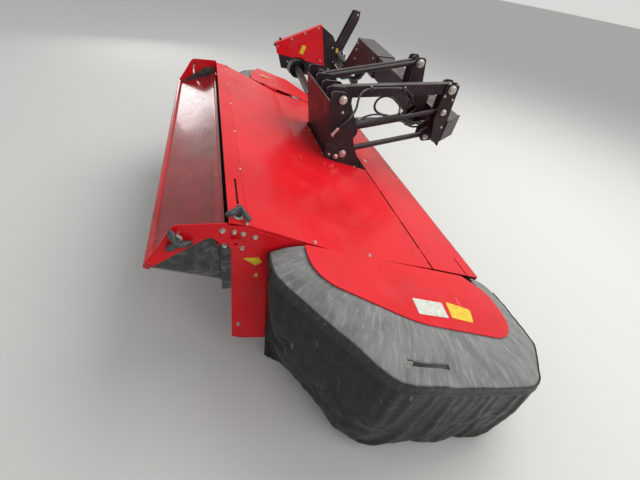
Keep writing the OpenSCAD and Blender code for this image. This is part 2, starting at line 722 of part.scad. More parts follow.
// Float cylinder between the tower and the boom's end
float_x = arm_x;
float_foot = [10, 900];
float_head = [735, 1075];
module float_cylinder() {
    a = [float_x, float_foot.x, float_foot.y];
    b = [float_x, float_head.x, float_head.y];
    d = b - a;
    u = unit(d);
    port = 2.2 * foot_route[0] - 1.2 * foot_route[1];
    difference() {
        union() {
            color(black) between(a + 18 * u, b) cylinder(d = 60, h = norm(d) * 0.55);
            color(black) rod_x(64, float_x - 20, float_x + 20, a.y, a.z);
            color(steel) between(a + 18 * u, b) cylinder(d = 30, h = norm(d) - 36);
            color(steel) rod_x(60, float_x - 20, float_x + 20, b.y, b.z);
            color(steel) rod_x(22, port.x - 10, float_x - 20, port.y, port.z);
            color(steel) between(port, foot_route[0]) cylinder(d = hose_small_d + 4,
                h = norm(foot_route[0] - port) - fit);
            color(steel) translate([float_x, gland_route[0].y, gland_route[0].z - 20]) cylinder(d = 22,
                h = 20);
        }
        for (e = [a, b]) rod_x(link_pin_d + 1, float_x - 40, float_x + 40, e.y, e.z);
    }
}

// Hydraulic hoses of the float cylinder: eight-sided tubes along points chosen by hand, x, y, z
hose_d = 16;
hose_small_d = 14;
float_route = [[-280, 772, 868], [-280, 756, 868], [-279, 728, 862], [-274, 695, 858], [-258,
    648, 864],
    [-234, 605, 881], [-208, 565, 905], [-187, 528, 936], [-171, 500, 972], [-154, 486, 1010], [-134,
        481, 1050],
    [-112, 474, 1088], [-90, 466, 1118], [-66, 456, 1142], [-46, 446, 1155], [-33, 428, 1174], [-34,
        398, 1197],
    [-36, 360, 1211], [-36, 300, 1213], [-36, 220, 1206], [-36, 140, 1197], [-35, 108, 1193], [-29, 74,
        1186],
    [-15, 44, 1175], [6, 20, 1157], [30, 4, 1132], [54, -6, 1104], [76, -20, 1078], [95, -41, 1052],
    [107, -67, 1027], [112, -93, 1001], [112, -117, 976], [112, -136, 951], [112, -150, 932]];
foot_route = [[-118, 98, 934], [-118, 113, 947], [-121, 150, 968], [-123, 200, 984], [-124,
    245, 990],
    [-122, 292, 990], [-120, 340, 984], [-119, 388, 973], [-121, 435, 959], [-130, 485, 944], [-148,
        530, 930],
    [-171, 575, 917], [-198, 618, 908], [-228, 658, 903], [-254, 695, 902], [-271, 730, 903], [-277,
        754, 903],
    [-277, 772, 903]];
gland_route = [[-75, 398, 1034], [-75, 398, 1052], [-79, 388, 1076], [-88, 368, 1098], [-100,
    340, 1117],
    [-112, 308, 1128], [-122, 274, 1128], [-131, 244, 1114], [-138, 224, 1090], [-144, 216, 1060],
        [-149, 222, 1030],
    [-154, 244, 1004], [-160, 278, 986], [-166, 320, 976], [-174, 370, 968], [-184, 425, 958], [-197,
        480, 946],
    [-213, 535, 933], [-232, 590, 919], [-256, 640, 906], [-280, 685, 897], [-298, 722, 889], [-306,
        752, 884],
    [-306, 772, 884]];

module hose(route, d) {
    m = len(route);
    rings = [for (i = [0 : m - 1])
        let (along = unit(route[min(i + 1, m - 1)] - route[max(i - 1, 0)]),
            side = unit(cross(along, [1, 0, 0])),
            lift = cross(along, side))
        for (k = [0 : 7]) route[i] + d / 2 * (cos(45 * k) * side + sin(45 * k) * lift)];
    walls = [for (i = [0 : m - 2], k = [0 : 7])
        let (a = 8 * i + k, b = 8 * i + (k + 1) % 8) each [[a, a + 8, b + 8], [a, b + 8, b]]];
    caps = [[for (k = [0 : 7]) k], [for (k = [0 : 7]) 8 * m - 1 - k]];
    color(black) polyhedron(rings, concat(walls, caps));
}
module hose_float() hose(float_route, hose_d);
module hose_foot() hose(foot_route, hose_small_d);
module hose_gland() hose(gland_route, hose_small_d);

// Fittings where the hoses go into the boom and into the tower
module hose_fittings() {
    last = float_route[len(float_route) - 1];
    ends = [float_route[0], foot_route[len(foot_route) - 1], gland_route[len(gland_route) - 1]];
    color(steel) {
        for (e = ends) {
            rod_y(hose_d + 6, e.x, e.y + fit, e.y + 18, e.z);
            rod_y(hose_d - 2, e.x, e.y + 17, boom_y - fit, e.z);
        }
        between(last, 2 * last - float_route[len(float_route) - 2]) translate([0, 0, fit])
            cylinder(d = hose_d + 6, h = 26);
        rod_x(hose_d + 4, tower_x + tower_w / 2 + fit, last.x + 10, last.y - 15, last.z - 20);
    }
}

// Boom
boom_mid_y = boom_y + boom_w / 2;
sleeve_end = 1130;
elbow_t = 30;
lug_r = 240;
lug_angle = 10 + boom_drop;

module boom_inner() {
    lug = lug_r * [cos(lug_angle), sin(lug_angle)];
    bottom = boom_top - boom_h;
    elbow = rounded([[-75, -75, 70], [120, -75, 60], [330, 20, 80], [620, bottom, 10], [620, boom_top, 10],
        [440, boom_top, 60], [60, 85, 20], [-75, 75, 70]]);
    color(black) on_boom() difference() {
        union() {
            for (y = [boom_y, boom_y + boom_w - elbow_t]) along_y(elbow, y, y + elbow_t);
            translate([440, boom_y - 10, bottom - 10]) cube([sleeve_end - 440, boom_w + 20, boom_h + 20]);
            rod_y(90, lug.x, boom_y, boom_mid_y - 32, lug.y);
            rod_y(90, lug.x, boom_mid_y + 32, boom_y + boom_w, lug.y);
        }
        rod_y(pivot_d + 1, 0, boom_y - 50, boom_y + boom_w + 50, 0);
        rod_y(41, lug.x, boom_y - 50, boom_y + boom_w + 50, lug.y);
    }
}

// Outer beam, drawn in underneath at its end and cut off aslant, with a welded cap
end_cut = 35;
end_rise = 60;
module boom_outer() {
    bottom = boom_top - boom_h;
    rim = 8;
    side = [[sleeve_end + fit, bottom], [boom_len - 420, bottom], [boom_len - 200, bottom + end_rise],
        [boom_len, bottom + end_rise], [boom_len, boom_top], [sleeve_end + fit, boom_top]];
    color(black) on_boom() {
        difference() {
            along_y(side, boom_y, boom_y + boom_w);
            translate([boom_len - 5, boom_y, bottom - 1]) rotate([0, 0, end_cut]) translate([0, -100, 0])
                cube([300, 500, boom_h + 2]);
        }
        translate([boom_len, boom_y, bottom + end_rise - rim]) rotate([0, 0, end_cut])
            translate([-10, rim, 0])
            cube([10, boom_w / cos(end_cut), boom_h - end_rise + 2 * rim]);
    }
}

// Bracket at the boom's end that holds the outer pins of the links
module boom_end() {
    post = rounded([[top_end.x - 42, 1130, 30], [boom_y - 90, 990, 20], [boom_y - fit, 940, 0],
        [boom_y - fit, 1080, 0],
        [top_end.x + 75, 1190, 40], [top_end.x + 42, top_end.y + 40, 25], [top_end.x - 42,
            top_end.y + 40, 25]]);
    cheek = rounded([[low_end.x - 20, 860, 20], [boom_y - fit, 800, 0], [boom_y - fit, 1060, 0],
        [arm_end.y + 55, arm_end.z + 50, 40], [arm_end.y - 50, arm_end.z + 50, 40], [float_head.x - 50,
            1020, 30]]);
    low_cheek = rounded([[low_end.x - 40, low_end.y - 45, 30], [boom_y - fit, low_end.y - 30, 0],
        [boom_y - fit, 960, 0],
        [low_end.x - 40, low_end.y + 50, 40]]);
    color(black) {
        for (x = [arm_x - 44, arm_x + 32]) along_x(cheek, x, x + plate_t);
        for (row = low_x, s = [-50, 38]) along_x(low_cheek, row[1] + s, row[1] + s + plate_t);
        for (x = [top_x - 66, top_x + 54]) along_x(post, x, x + plate_t);
    }
    color(steel) {
        rod_x(link_pin_d, arm_x - 50, arm_x + 50, arm_end.y, arm_end.z);
        rod_x(link_pin_d, top_x - 72, top_x + 72, top_end.x, top_end.y);
        rod_x(link_pin_d, arm_x - 50, arm_x + 50, float_head.x, float_head.y);
        for (row = low_x) rod_x(link_pin_d, row[1] - 56, row[1] + 56, low_end.x, low_end.y);
    }
}

// Headstock
tube_w = 150;
tube_y = boom_y - 5;
tube_d = boom_w + 10;
tube_z = pivot_z - 120;
fork_t = 25;
stand_x = 560;
stand_y = 1070;
fork_gap = 5;
anchor = [pivot_x - 520, pivot_z + 120];
mast_half = 55;
far_pivot_x = 2 * hitch_x - pivot_x;

fork_reach = 165;
anchor_gap = 54;
module fork_plates(side) {
    px = side > 0 ? pivot_x : far_pivot_x;
    profile = rounded([[px - side * fork_reach, tube_z, 0], [px + side * 70, pivot_z - 70, 65],
        [px + side * 70, pivot_z + 70, 65], [px - side * 60, pivot_z + 70, 60],
        [px - side * fork_reach, tube_z + tube_w, 0]]);
    for (y = [boom_y - fork_gap - fork_t, boom_y + boom_w + fork_gap]) along_y(profile, y, y + fork_t);
}

// Forks for the boom's pivot at both ends of the cross tube
module boom_forks() {
    color(black) difference() {
        for (side = [-1, 1]) fork_plates(side);
        for (x = [pivot_x, far_pivot_x]) rod_y(pivot_d + 1, x, boom_y - 100, boom_y + boom_w + 100,
            pivot_z);
    }
    color(steel) rod_y(pivot_d, pivot_x, boom_y - fork_t - 12, boom_y + boom_w + fork_t + 12, pivot_z);
}

// Ears on the cross tube that hold the fold cylinder
module fold_anchor() {
    top = tube_z + tube_w;
    profile = [[anchor.x - 50, top], [anchor.x + 50, top], [anchor.x + 40, anchor.y + 30],
        [anchor.x - 40, anchor.y + 30]];
    color(black) difference() {
        for (s = [-1, 1]) along_y(profile, boom_mid_y + s * anchor_gap - 10,
            boom_mid_y + s * anchor_gap + 10);
        rod_y(40 + 2 * fit, anchor.x, boom_mid_y - 80, boom_mid_y + 80, anchor.y);
    }
    color(steel) rod_y(40, anchor.x, boom_mid_y - 76, boom_mid_y + 76, anchor.y);
}

// Cross tube with the hitch arms and the sleeves of the parking stands
module headstock_frame() {
    pin_x = hitch_span / 2;
    arm_x0 = pin_x - 40;
    arm_rear = tube_y + tube_d - 10;
    color(black) difference() {
        union() {
            translate([far_pivot_x + 90, tube_y, tube_z])
                cube([pivot_x - far_pivot_x - 180, tube_d, tube_w]);
            for (s = [-1, 1]) {
                x = hitch_x + s * (pin_x - 20);
                along_x([[arm_rear, tube_z], [hitch_y + 40, hitch_z - 50], [hitch_y + 40, hitch_z + 50],
                    [arm_rear, tube_z + tube_w]], x - 20, x + 20);
                translate([hitch_x + s * stand_x - 50, stand_y - 50, tube_z - 40]) cube([100, 100, 190]);
                translate([hitch_x + s * (arm_x0 + stand_x) / 2 - 40, stand_y - 40, tube_z + 30])
                    cube([80, 80, 90]);
            }
        }
        for (s = [-1, 1]) translate([hitch_x + s * stand_x - 30.5, stand_y - 30.5, 0]) cube([61, 61, 1000]);
    }
    color(steel) for (s = [-1, 1]) rod_x(hitch_pin_d, hitch_x + s * pin_x - (s > 0 ? 2 : 70),
        hitch_x + s * pin_x + (s > 0 ? 70 : 2), hitch_y, hitch_z);
}

// Mast of the top link and the side plates that carry the drive cover
module hitch_mast() {
    top = hitch_z + mast_h;
    side_plate = [[cover_foot.x + 8, cover_foot.y + 30], [5, 550], [150, 543], [tube_y, tube_z],
        [tube_y, 895],
        [cover_top.x + 180, 1030], [cover_top.x + 5, cover_top.y - 12], [cover_top.x - 20,
            cover_top.y - 40]];
    mast = [[tube_y + 20, tube_z + tube_w], [tube_y + tube_w, tube_z + tube_w], [hitch_y - 30, top - 60],
        [hitch_y - 30, top + 45], [hitch_y - 110, top + 45]];
    color(black) difference() {
        union() {
            along_x(side_plate, hitch_x + cover_half - 12, hitch_x + cover_half - 4);
            for (s = [-1, 1]) along_x(mast, hitch_x + s * mast_half - 8, hitch_x + s * mast_half + 8);
        }
        rod_x(top_bore_d, hitch_x - 100, hitch_x + 100, hitch_y - 62, top);
        rod_x(cover_arch_d, hitch_x + 300, hitch_x + 500, shaft_start.y, shaft_start.z);
    }
}

module stand(side) {
    x = hitch_x + side * stand_x;
    y = stand_y;
    color(black) {
        translate([x - 30, y - 30, 10]) cube([60, 60, tube_z + 160]);
        translate([x - 90, y - 90, 0]) cube([180, 180, 10]);
    }
}
module stand_near() stand(1);
module stand_far() stand(-1);

input_z = 480;
module headstock_gearbox() {
    color(black) {
        translate([hitch_x - 150, 180, 430]) cube([300, 480, 250]);
        translate([hitch_x + 150, 165, 485]) cube([130, 150, 150]);
        translate([hitch_x - 90, 640, 560]) cube([180, tube_y - 640, 60]);
        rod_x(44, hitch_x + 280, shaft_start.x - 38, shaft_start.y, shaft_start.z);
        translate([shaft_start.x - 50, shaft_start.y - 34, shaft_start.z - 22]) cube([14, 68, 44]);
        for (s = [-34, 22]) translate([shaft_start.x - 50, shaft_start.y + s, shaft_start.z - 22])
            cube([70, 12, 44]);
        rod_y(joint_pin_d, shaft_start.x, shaft_start.y - 34, shaft_start.y + 34, shaft_start.z);
    }
    color(steel) rod_y(34.9, hitch_x, 640, 900, input_z);
}

cover_low = [-100, 853];
cover_top = [520, 1140];
cover_foot = [-67, 728];
cover_half = 400;
cover_depth = 90;
cover_arch_d = 300;
module drive_cone() {
    color(black) translate([hitch_x + 280, shaft_start.y, shaft_start.z]) rotate([0, 90, 0]) difference() {
        cylinder(h = 150, r1 = 88, r2 = 118);
        translate([0, 0, 8]) cylinder(h = 150, r1 = 83, r2 = 113);
        translate([0, 0, -1]) cylinder(h = 20, d = 46);
    }
}

module drive_cover() {
    start = cover_low + sheet_t * [2, -0.25];
    profile = [cover_low, cover_top, [cover_top.x + 115, cover_foot.y - 88], cover_foot];
    inner = [start, start + 1.05 * (cover_top - cover_low), [cover_top.x + 160, cover_foot.y - 146],
        [cover_foot.x + 2 * sheet_t, cover_foot.y - 146]];
    color(red) difference() {
        along_x(profile, hitch_x + cover_half - cover_depth, hitch_x + cover_half);
        along_x(inner, hitch_x + cover_half - cover_depth - 1, hitch_x + cover_half - 4);
        rod_x(cover_arch_d, hitch_x, hitch_x + cover_half + 10, shaft_start.y, shaft_start.z);
    }
}

// Fold cylinder
fold_len = 760;
module fold_frame() translate([anchor.x, boom_mid_y, anchor.y]) rotate([0, 90 + 5.9, 0]) children();
module fold_barrel() {
    color(black) fold_frame() difference() {
        union() {
            translate([0, 0, 30]) cylinder(d = 74, h = 390);
            rotate([90, 0, 0]) cylinder(d = 76, h = 50, center = true);
        }
        rotate([90, 0, 0]) cylinder(d = 41, h = 60, center = true);
        translate([0, 0, 80]) cylinder(d = 46, h = 400);
    }
}
module fold_rod() {
    color(steel) fold_frame() difference() {
        union() {
            translate([0, 0, 380]) cylinder(d = 45, h = fold_len - 400);
            translate([0, 0, fold_len]) rotate([90, 0, 0]) cylinder(d = 70, h = 50, center = true);
        }
        translate([0, 0, fold_len]) rotate([90, 0, 0]) cylinder(d = 41, h = 60, center = true);
    }
}

headstock_frame();
boom_forks();
hitch_mast();
fold_anchor();
headstock_gearbox();
drive_cover();
drive_cone();
stand_near();
stand_far();
fold_barrel();
fold_rod();
boom_inner();
boom_outer();
boom_end();
top_link();
lift_arm();
lower_links();
float_cylinder();
hose_float();
hose_foot();
hose_gland();
hose_fittings();
tower();
tower_back();
tower_pins();
main_beam();
deck_rear();
deck_middle();
front_flap();
front_apron();
hood();
swath_board_near();
swath_board_far();
wall_near();
wall_far();
conditioning_plate();
conditioner_rotor();
cutterbar();
skids();
disc_1();
disc_2();
disc_3();
disc_4();
disc_5();
disc_6();
disc_7();
mower_gearbox();
shaft_tube();
shaft_rod();
guard_near();
band_near();
curtain_near();
guard_far();
band_far();
curtain_far();
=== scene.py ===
import math

import bmesh
import bpy
import numpy as np
from mathutils import Matrix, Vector
from mathutils.geometry import tessellate_polygon


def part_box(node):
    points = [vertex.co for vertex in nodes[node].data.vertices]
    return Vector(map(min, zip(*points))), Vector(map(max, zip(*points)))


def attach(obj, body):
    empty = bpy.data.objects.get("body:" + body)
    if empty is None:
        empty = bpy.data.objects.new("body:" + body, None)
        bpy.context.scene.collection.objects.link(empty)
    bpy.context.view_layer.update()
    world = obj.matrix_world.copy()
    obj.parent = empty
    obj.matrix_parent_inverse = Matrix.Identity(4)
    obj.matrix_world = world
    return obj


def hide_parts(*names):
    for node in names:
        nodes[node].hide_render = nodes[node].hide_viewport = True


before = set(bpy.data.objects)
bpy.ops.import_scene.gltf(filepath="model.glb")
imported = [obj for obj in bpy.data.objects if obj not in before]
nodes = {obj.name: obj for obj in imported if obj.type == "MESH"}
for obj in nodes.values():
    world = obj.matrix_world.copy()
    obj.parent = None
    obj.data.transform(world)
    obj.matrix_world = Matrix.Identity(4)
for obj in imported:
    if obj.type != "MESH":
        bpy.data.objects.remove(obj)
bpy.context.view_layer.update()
scene = bpy.context.scene
scene.view_settings.view_transform = "Standard"
print("frame loaded")

# Camera: stands off the near end, above the rear hood, and looks down along the deck
cameraLook = {
    "eye": (2.2691, -0.941, 1.8214),
    "right": (0.24025, 0.95822, 0.1552),
    "up": (-0.64404, 0.03772, 0.76406),
    "back": (0.72628, -0.28352, 0.6262),
    "lens": 19.27,
    "sensor": 36.0,
}


def placeCamera(look):
    camera = bpy.data.objects.new("camera", bpy.data.cameras.new("camera"))
    camera.data.lens = look["lens"]
    camera.data.sensor_width = look["sensor"]
    camera.data.clip_end = 600.0
    turned = Matrix((look["right"], look["up"], look["back"])).transposed().to_4x4()
    camera.matrix_world = Matrix.Translation(look["eye"]) @ turned
    scene.collection.objects.link(camera)
    scene.camera = camera


placeCamera(cameraLook)


# Shapes: each is (points, faces), worked out as whole arrays and joined into pieces later
def unitRows(rows):
    return rows / np.linalg.norm(rows, axis=-1, keepdims=True)


# How far along a path each of its points lies
def runLength(path):
    return np.concatenate([[0], np.cumsum(np.linalg.norm(np.diff(path, axis=0), axis=1))])


def pathLength(path):
    return float(np.linalg.norm(np.diff(path, axis=0), axis=1).sum())


# Fields that share one grid, side by side as the columns of its points
def stacked(*fields):
    return np.stack(np.broadcast_arrays(*fields), axis=-1)


# The pair of places x on one side of the machine, low one first
def sideSpan(side, pair):
    return sorted(side * x for x in pair)


# A grid of points, rows by columns, as quads; with wrapColumns each row closes on itself
def gridShape(points, wrapColumns=False):
    rows, columns = points.shape[:2]
    index = np.arange(rows * columns).reshape(rows, columns)
    if wrapColumns:
        index = np.hstack([index, index[:, :1]])
    quads = np.stack([index[:-1, :-1], index[1:, :-1], index[1:, 1:], index[:-1, 1:]], axis=-1)
    return points.reshape(-1, 3), quads.reshape(-1, 4).tolist()


# Two unit vectors square to the axis
def acrossAxis(axis):
    axis = np.asarray(axis, float) / np.linalg.norm(axis)
    helper = np.array([0.0, 0.0, 1.0]) if abs(axis[2]) < 0.9 else np.array([1.0, 0.0, 0.0])
    first = np.cross(axis, helper)
    first /= np.linalg.norm(first)
    return axis, first, np.cross(axis, first)


# Turned shape: point = centre + axis * s + radius(s) * (cos t, sin t), for each (s, radius) of its profile
def latheShape(profile, centre, axis, steps=24, turn=0.0):
    axis, first, second = acrossAxis(axis)
    angle = np.linspace(0, 2 * math.pi, steps, endpoint=False) + turn
    ring = np.cos(angle)[:, None] * first + np.sin(angle)[:, None] * second
    profile = np.asarray(profile, float)
    points = np.asarray(centre) + profile[:, 0, None, None] * axis + profile[:, 1, None, None] * ring
    return gridShape(points, wrapColumns=True)


# Two directions square to a path at each of its points; each side is the one before, turned as the path turns
def carriedFrames(centres):
    along = unitRows(np.gradient(centres, axis=0))
    side = [acrossAxis(along[0])[1]]
    for direction in along[1:]:
        kept = side[-1] - direction * (direction @ side[-1])
        side.append(kept / np.linalg.norm(kept))
    side = np.array(side)
    return side, np.cross(along, side)


# Round tube: each ring = centre + radius * (cos t * side + sin t * lift), square to the path
def tubeShape(centres, radius, sides=12):
    centres = np.asarray(centres, float)
    side, lift = carriedFrames(centres)
    angle = np.linspace(0, 2 * math.pi, sides, endpoint=False)
    radius = np.broadcast_to(np.asarray(radius, float), len(centres))[:, None, None]
    spokes = np.cos(angle)[:, None] * side[:, None] + np.sin(angle)[:, None] * lift[:, None]
    points, faces = gridShape(centres[:, None] + radius * spokes, wrapColumns=True)
    last = len(points) - sides
    return points, faces + [list(range(sides))[::-1], list(range(last, last + sides))]


# Flat plate: an outline in the plane square to the axis number, from low to high along that axis
def plateShape(outline, axis, low, high):
    outline = np.asarray(outline, float)
    count = len(outline)
    flat = np.zeros((2, count, 3))
    flat[:, :, [k for k in range(3) if k != axis]] = outline
    flat[0, :, axis], flat[1, :, axis] = low, high
    points, faces = gridShape(flat, wrapColumns=True)
    return points, faces + [list(range(count)), list(range(2 * count - 1, count - 1, -1))]


def boxShape(low, high):
    outline = [(low[1], low[2]), (high[1], low[2]), (high[1], high[2]), (low[1], high[2])]
    return plateShape(outline, 0, low[0], high[0])


# Corner table (x, y, radius) as an open path, each corner an arc that is tangent to both its sides
def roundedPath(table, steps=8):
    table = np.asarray(table, float)
    out = [table[0, :2]]
    for before, corner, after in zip(table[:-2], table[1:-1], table[2:]):
        p = unitRows(before[:2] - corner[:2])
        q = unitRows(after[:2] - corner[:2])
        half = math.acos(np.clip(p @ q, -1, 1)) / 2
        reach = corner[2] / math.tan(half)
        t = np.linspace(0, 1, steps)[:, None]
        out += list(corner[:2] + p * reach * (1 - t) ** 2 + q * reach * t ** 2)
    out.append(table[-1, :2])
    return np.array(out)


# The same path as count points, evenly spaced along its length
def evenly(path, count):
    path = np.asarray(path, float)
    length = runLength(path)
    at = np.linspace(0, length[-1], count)
    return np.stack([np.interp(at, length, path[:, k]) for k in range(path.shape[1])], axis=1)


# A smooth curve through the points of a route, then evenly spaced: from b to c it is the cubic whose slope
# at each end is half the way between that point's two neighbours
def smoothRoute(points, count):
    points = np.asarray(points, float)
    padded = np.vstack([2 * points[0] - points[1], points, 2 * points[-1] - points[-2]])
    t = np.linspace(0, 1, 9)[:-1, None, None]
    a, b, c, d = padded[:-3], padded[1:-2], padded[2:-1], padded[3:]
    square, cube = 2 * a - 5 * b + 4 * c - d, 3 * b - a - 3 * c + d
    curve = 0.5 * (2 * b + (c - a) * t + square * t ** 2 + cube * t ** 3)
    curve = curve.transpose(1, 0, 2).reshape(-1, 3)
    return evenly(np.vstack([curve, points[-1:]]), count)


# Seeded soft noise along one direction, as a sum of waves of falling size
def softWaves(at, seed, count=6, longest=1.0):
    random = np.random.default_rng(seed)
    total = np.zeros_like(at, float)
    for k in range(count):
        wave = longest / (1.55 ** k)
        total += np.sin(2 * math.pi * at / wave + random.uniform(0, 6.3)) / (k + 1.5)
    return total / 1.6


# Pieces
def makePiece(name, shapes, body, material, crease=35.0, uv=None, bevel=0.0, replaced=()):
    points, faces, start = [], [], 0
    for shapePoints, shapeFaces in shapes:
        points.append(shapePoints)
        faces += [[k + start for k in face] for face in shapeFaces]
        start += len(shapePoints)
    mesh = bpy.data.meshes.new(name)
    mesh.from_pydata(np.vstack(points).tolist(), [], faces)
    if uv is None:
        work = bmesh.new()
        work.from_mesh(mesh)
        bmesh.ops.remove_doubles(work, verts=work.verts, dist=1e-5)
        bmesh.ops.recalc_face_normals(work, faces=work.faces)
        work.to_mesh(mesh)
        work.free()
    else:
        layer = mesh.uv_layers.new(name="surface")
        corner = np.empty(len(mesh.loops), int)
        mesh.loops.foreach_get("vertex_index", corner)
        layer.data.foreach_set("uv", uv.reshape(-1, 2)[corner].ravel())
    mesh.shade_smooth()
    mesh.set_sharp_from_angle(angle=math.radians(crease))
    mesh.materials.append(material)
    piece = bpy.data.objects.new(name, mesh)
    scene.collection.objects.link(piece)
    if bevel:
        rounding = piece.modifiers.new("rounding", "BEVEL")
        rounding.width = bevel
        rounding.segments = 2
        rounding.limit_method = "ANGLE"
        rounding.harden_normals = True
    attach(piece, body)
    if replaced:
        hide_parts(*replaced)
    return piece


# Gives a sheet its wall: offset -1 grows it behind the surface, 0 to both sides
def addWall(piece, thickness, offset):
    wall = piece.modifiers.new("wall", "SOLIDIFY")
    wall.thickness = thickness
    wall.offset = offset


# Materials
def linearColour(code):
    channels = [int(code[k:k + 2], 16) / 255 for k in (1, 3, 5)]
    return tuple(c / 12.92 if c <= 0.04045 else ((c + 0.055) / 1.055) ** 2.4 for c in channels) + (1.0,)


def addNode(tree, kind, sockets=None, **settings):
    node = tree.nodes.new("ShaderNode" + kind)
    for key, value in settings.items():
        setattr(node, key, value)
    for key, value in (sockets or {}).items():
        if isinstance(value, bpy.types.NodeSocket):
            tree.links.new(value, node.inputs[key])
        else:
            node.inputs[key].default_value = value
    return node


# What lies on a finish: its colour, the size of its spots in metres, the noise levels between which it fades
# in, and how much of the finish it hides
def coating(colour, size, spread, share, **more):
    return {"colour": colour, "size": size, "spread": spread, "share": share, **more}


# One grain of the surface: its size and its depth, in metres
def grain(size, depth, **more):
    return {"size": size, "depth": depth, **more}


# A finish in layers: two tones of the colour, dirt where the surface faces up, scratches and fine grain.
# The dirt and the scratches also change how rough the surface is.
def layeredFinish(name, look):
    material = bpy.data.materials.new(name)
    material.use_nodes = True
    tree = material.node_tree
    shader = tree.nodes["Principled BSDF"]
    place = addNode(tree, "TexCoord")
    coords = place.outputs[look.get("coords", "Object")]

    def noiseOf(size, detail=5.0, stretch=(1, 1, 1), distortion=0.0, turn=0.0):
        turned = addNode(tree, "Mapping", {"Vector": coords, "Rotation": (0, 0, turn), "Scale": stretch})
        sockets = {"Vector": turned.outputs["Vector"], "Scale": 1 / size, "Detail": detail,
                   "Roughness": 0.6,
                   "Distortion": distortion}
        return addNode(tree, "TexNoise", sockets).outputs["Fac"]

    def stepOf(value, low, high):
        return addNode(tree, "MapRange", {"Value": value, "From Min": low, "From Max": high},
                       interpolation_type="SMOOTHSTEP").outputs["Result"]

    def dulled(share, rough, worst):
        return addNode(tree, "MapRange", {"Value": share, "To Min": rough,
                                          "To Max": worst}).outputs["Result"]

    def productOf(first, second):
        return addNode(tree, "Math", {0: first, 1: second}, operation="MULTIPLY").outputs[0]

    def mixOf(share, first, second):
        mixed = addNode(tree, "Mix", {0: share, 6: first, 7: second}, data_type="RGBA")
        return mixed.outputs[2]

    colour = mixOf(stepOf(noiseOf(look["patch"]), 0.35, 0.68),
                   *(linearColour(tone) for tone in look["tones"]))
    sockets = {"Value": noiseOf(look["patch"] * 0.4), "From Min": 0.3, "From Max": 0.7,
               "To Min": look["rough"][0], "To Max": look["rough"][1]}
    rough = addNode(tree, "MapRange", sockets).outputs["Result"]
    if "dirt" in look:
        dirt = look["dirt"]
        normal = addNode(tree, "NewGeometry").outputs["Normal"]
        up = addNode(tree, "SeparateXYZ", {0: normal}).outputs["Z"]
        facing = stepOf(up, *dirt.get("facing", (-1.5, 0.2)))
        spots = noiseOf(dirt["size"], 8.0, dirt.get("stretch", (1, 1, 1)), 0.4, dirt.get("turn", 0.0))
        speck = stepOf(spots, *dirt["spread"])
        share = productOf(productOf(facing, speck), dirt["share"])
        colour = mixOf(share, colour, linearColour(dirt["colour"]))
        rough = dulled(share, rough, 0.85)
    if "scratch" in look:
        scratch = look["scratch"]
        streaks = noiseOf(scratch["size"], 3.0, scratch["stretch"], 0.15, scratch.get("turn", 0.0))
        line = stepOf(streaks, *scratch["spread"])
        where = stepOf(noiseOf(scratch.get("area", 0.3), 2.0), 0.45, 0.6)
        share = productOf(productOf(line, where), scratch["share"])
        colour = mixOf(share, colour, linearColour(scratch["colour"]))
        rough = dulled(share, rough, 0.6)
    height = None
    for layer in look.get("bump", ()):
        bumps = noiseOf(layer["size"], layer.get("detail", 4.0), layer.get("stretch", (1, 1, 1)))
        sockets = {"Height": bumps, "Distance": layer["depth"], "Strength": 1.0}
        if height is not None:
            sockets["Normal"] = height
        height = addNode(tree, "Bump", sockets).outputs["Normal"]
    tree.links.new(colour, shader.inputs["Base Color"])
    tree.links.new(rough, shader.inputs["Roughness"])
    if height is not None:
        tree.links.new(height, shader.inputs["Normal"])
    shader.inputs["Metallic"].default_value = look.get("metallic", 0.0)
    if not look.get("metallic"):
        shader.inputs["IOR"].default_value = 1.5
    coat = look.get("coat", (0.0, 0.1))
    shader.inputs["Specular IOR Level"].default_value = look.get("specular", 0.5)
    shader.inputs["Coat Weight"].default_value = coat[0]
    shader.inputs["Coat Roughness"].default_value = coat[1]
    return material


# Stove enamel on sheet steel: bright red under a clear gloss, waved by the sheet, dulled by dust in patches
redEnamel = layeredFinish("redEnamel", {
    "tones": ("#d8141f", "#c90f1b"), "patch": 0.45, "rough": (0.24, 0.36), "coat": (0.10, 0.06),
    "specular": 0.16,
    "dirt": coating("#a0504a", 0.16, (0.50, 0.78), 0.25),
    "scratch": coating("#e8a8a0", 0.05, (0.70, 0.74), 0.4, stretch=(0.1, 1.0, 1.0)),
    "bump": (grain(0.30, 0.0016, detail=1.0), grain(0.004, 0.00003)),
})
# The tray's floor: the same enamel in darker tones that are painted shade, glossy so it mirrors the sky where
# it is seen flat
shadedTrayEnamel = layeredFinish("shadedTrayEnamel", {
    "tones": ("#8a1219", "#741015"), "patch": 0.3, "rough": (0.16, 0.26), "coat": (0.35, 0.07),
    "specular": 0.30,
    "dirt": coating("#94524d", 0.12, (0.55, 0.80), 0.30, stretch=(0.45, 1.0, 1.0)),
    "scratch": coating("#4a1416", 0.022, (0.63, 0.66), 0.6, stretch=(0.22, 1.0, 1.0), turn=0.7),
    "bump": (grain(0.25, 0.0022, detail=1.0), grain(0.012, 0.0002, stretch=(0.3, 1.0, 1.0))),
})
# The hood's lip and rolled edge: the same enamel rubbed by crop, with pale scuffs and long dark scratches
scuffedEnamel = layeredFinish("scuffedEnamel", {
    "tones": ("#b0161f", "#97161e"), "patch": 0.3, "rough": (0.20, 0.30), "coat": (0.55, 0.09),
    "specular": 0.12,
    "dirt": coating("#a8625c", 0.12, (0.50, 0.75), 0.35, stretch=(0.45, 1.0, 1.0)),
    "scratch": coating("#5a1a1c", 0.022, (0.62, 0.66), 0.7, stretch=(0.22, 1.0, 1.0), turn=0.7),
    "bump": (grain(0.25, 0.0022, detail=1.0), grain(0.012, 0.00025, stretch=(0.3, 1.0, 1.0))),
})
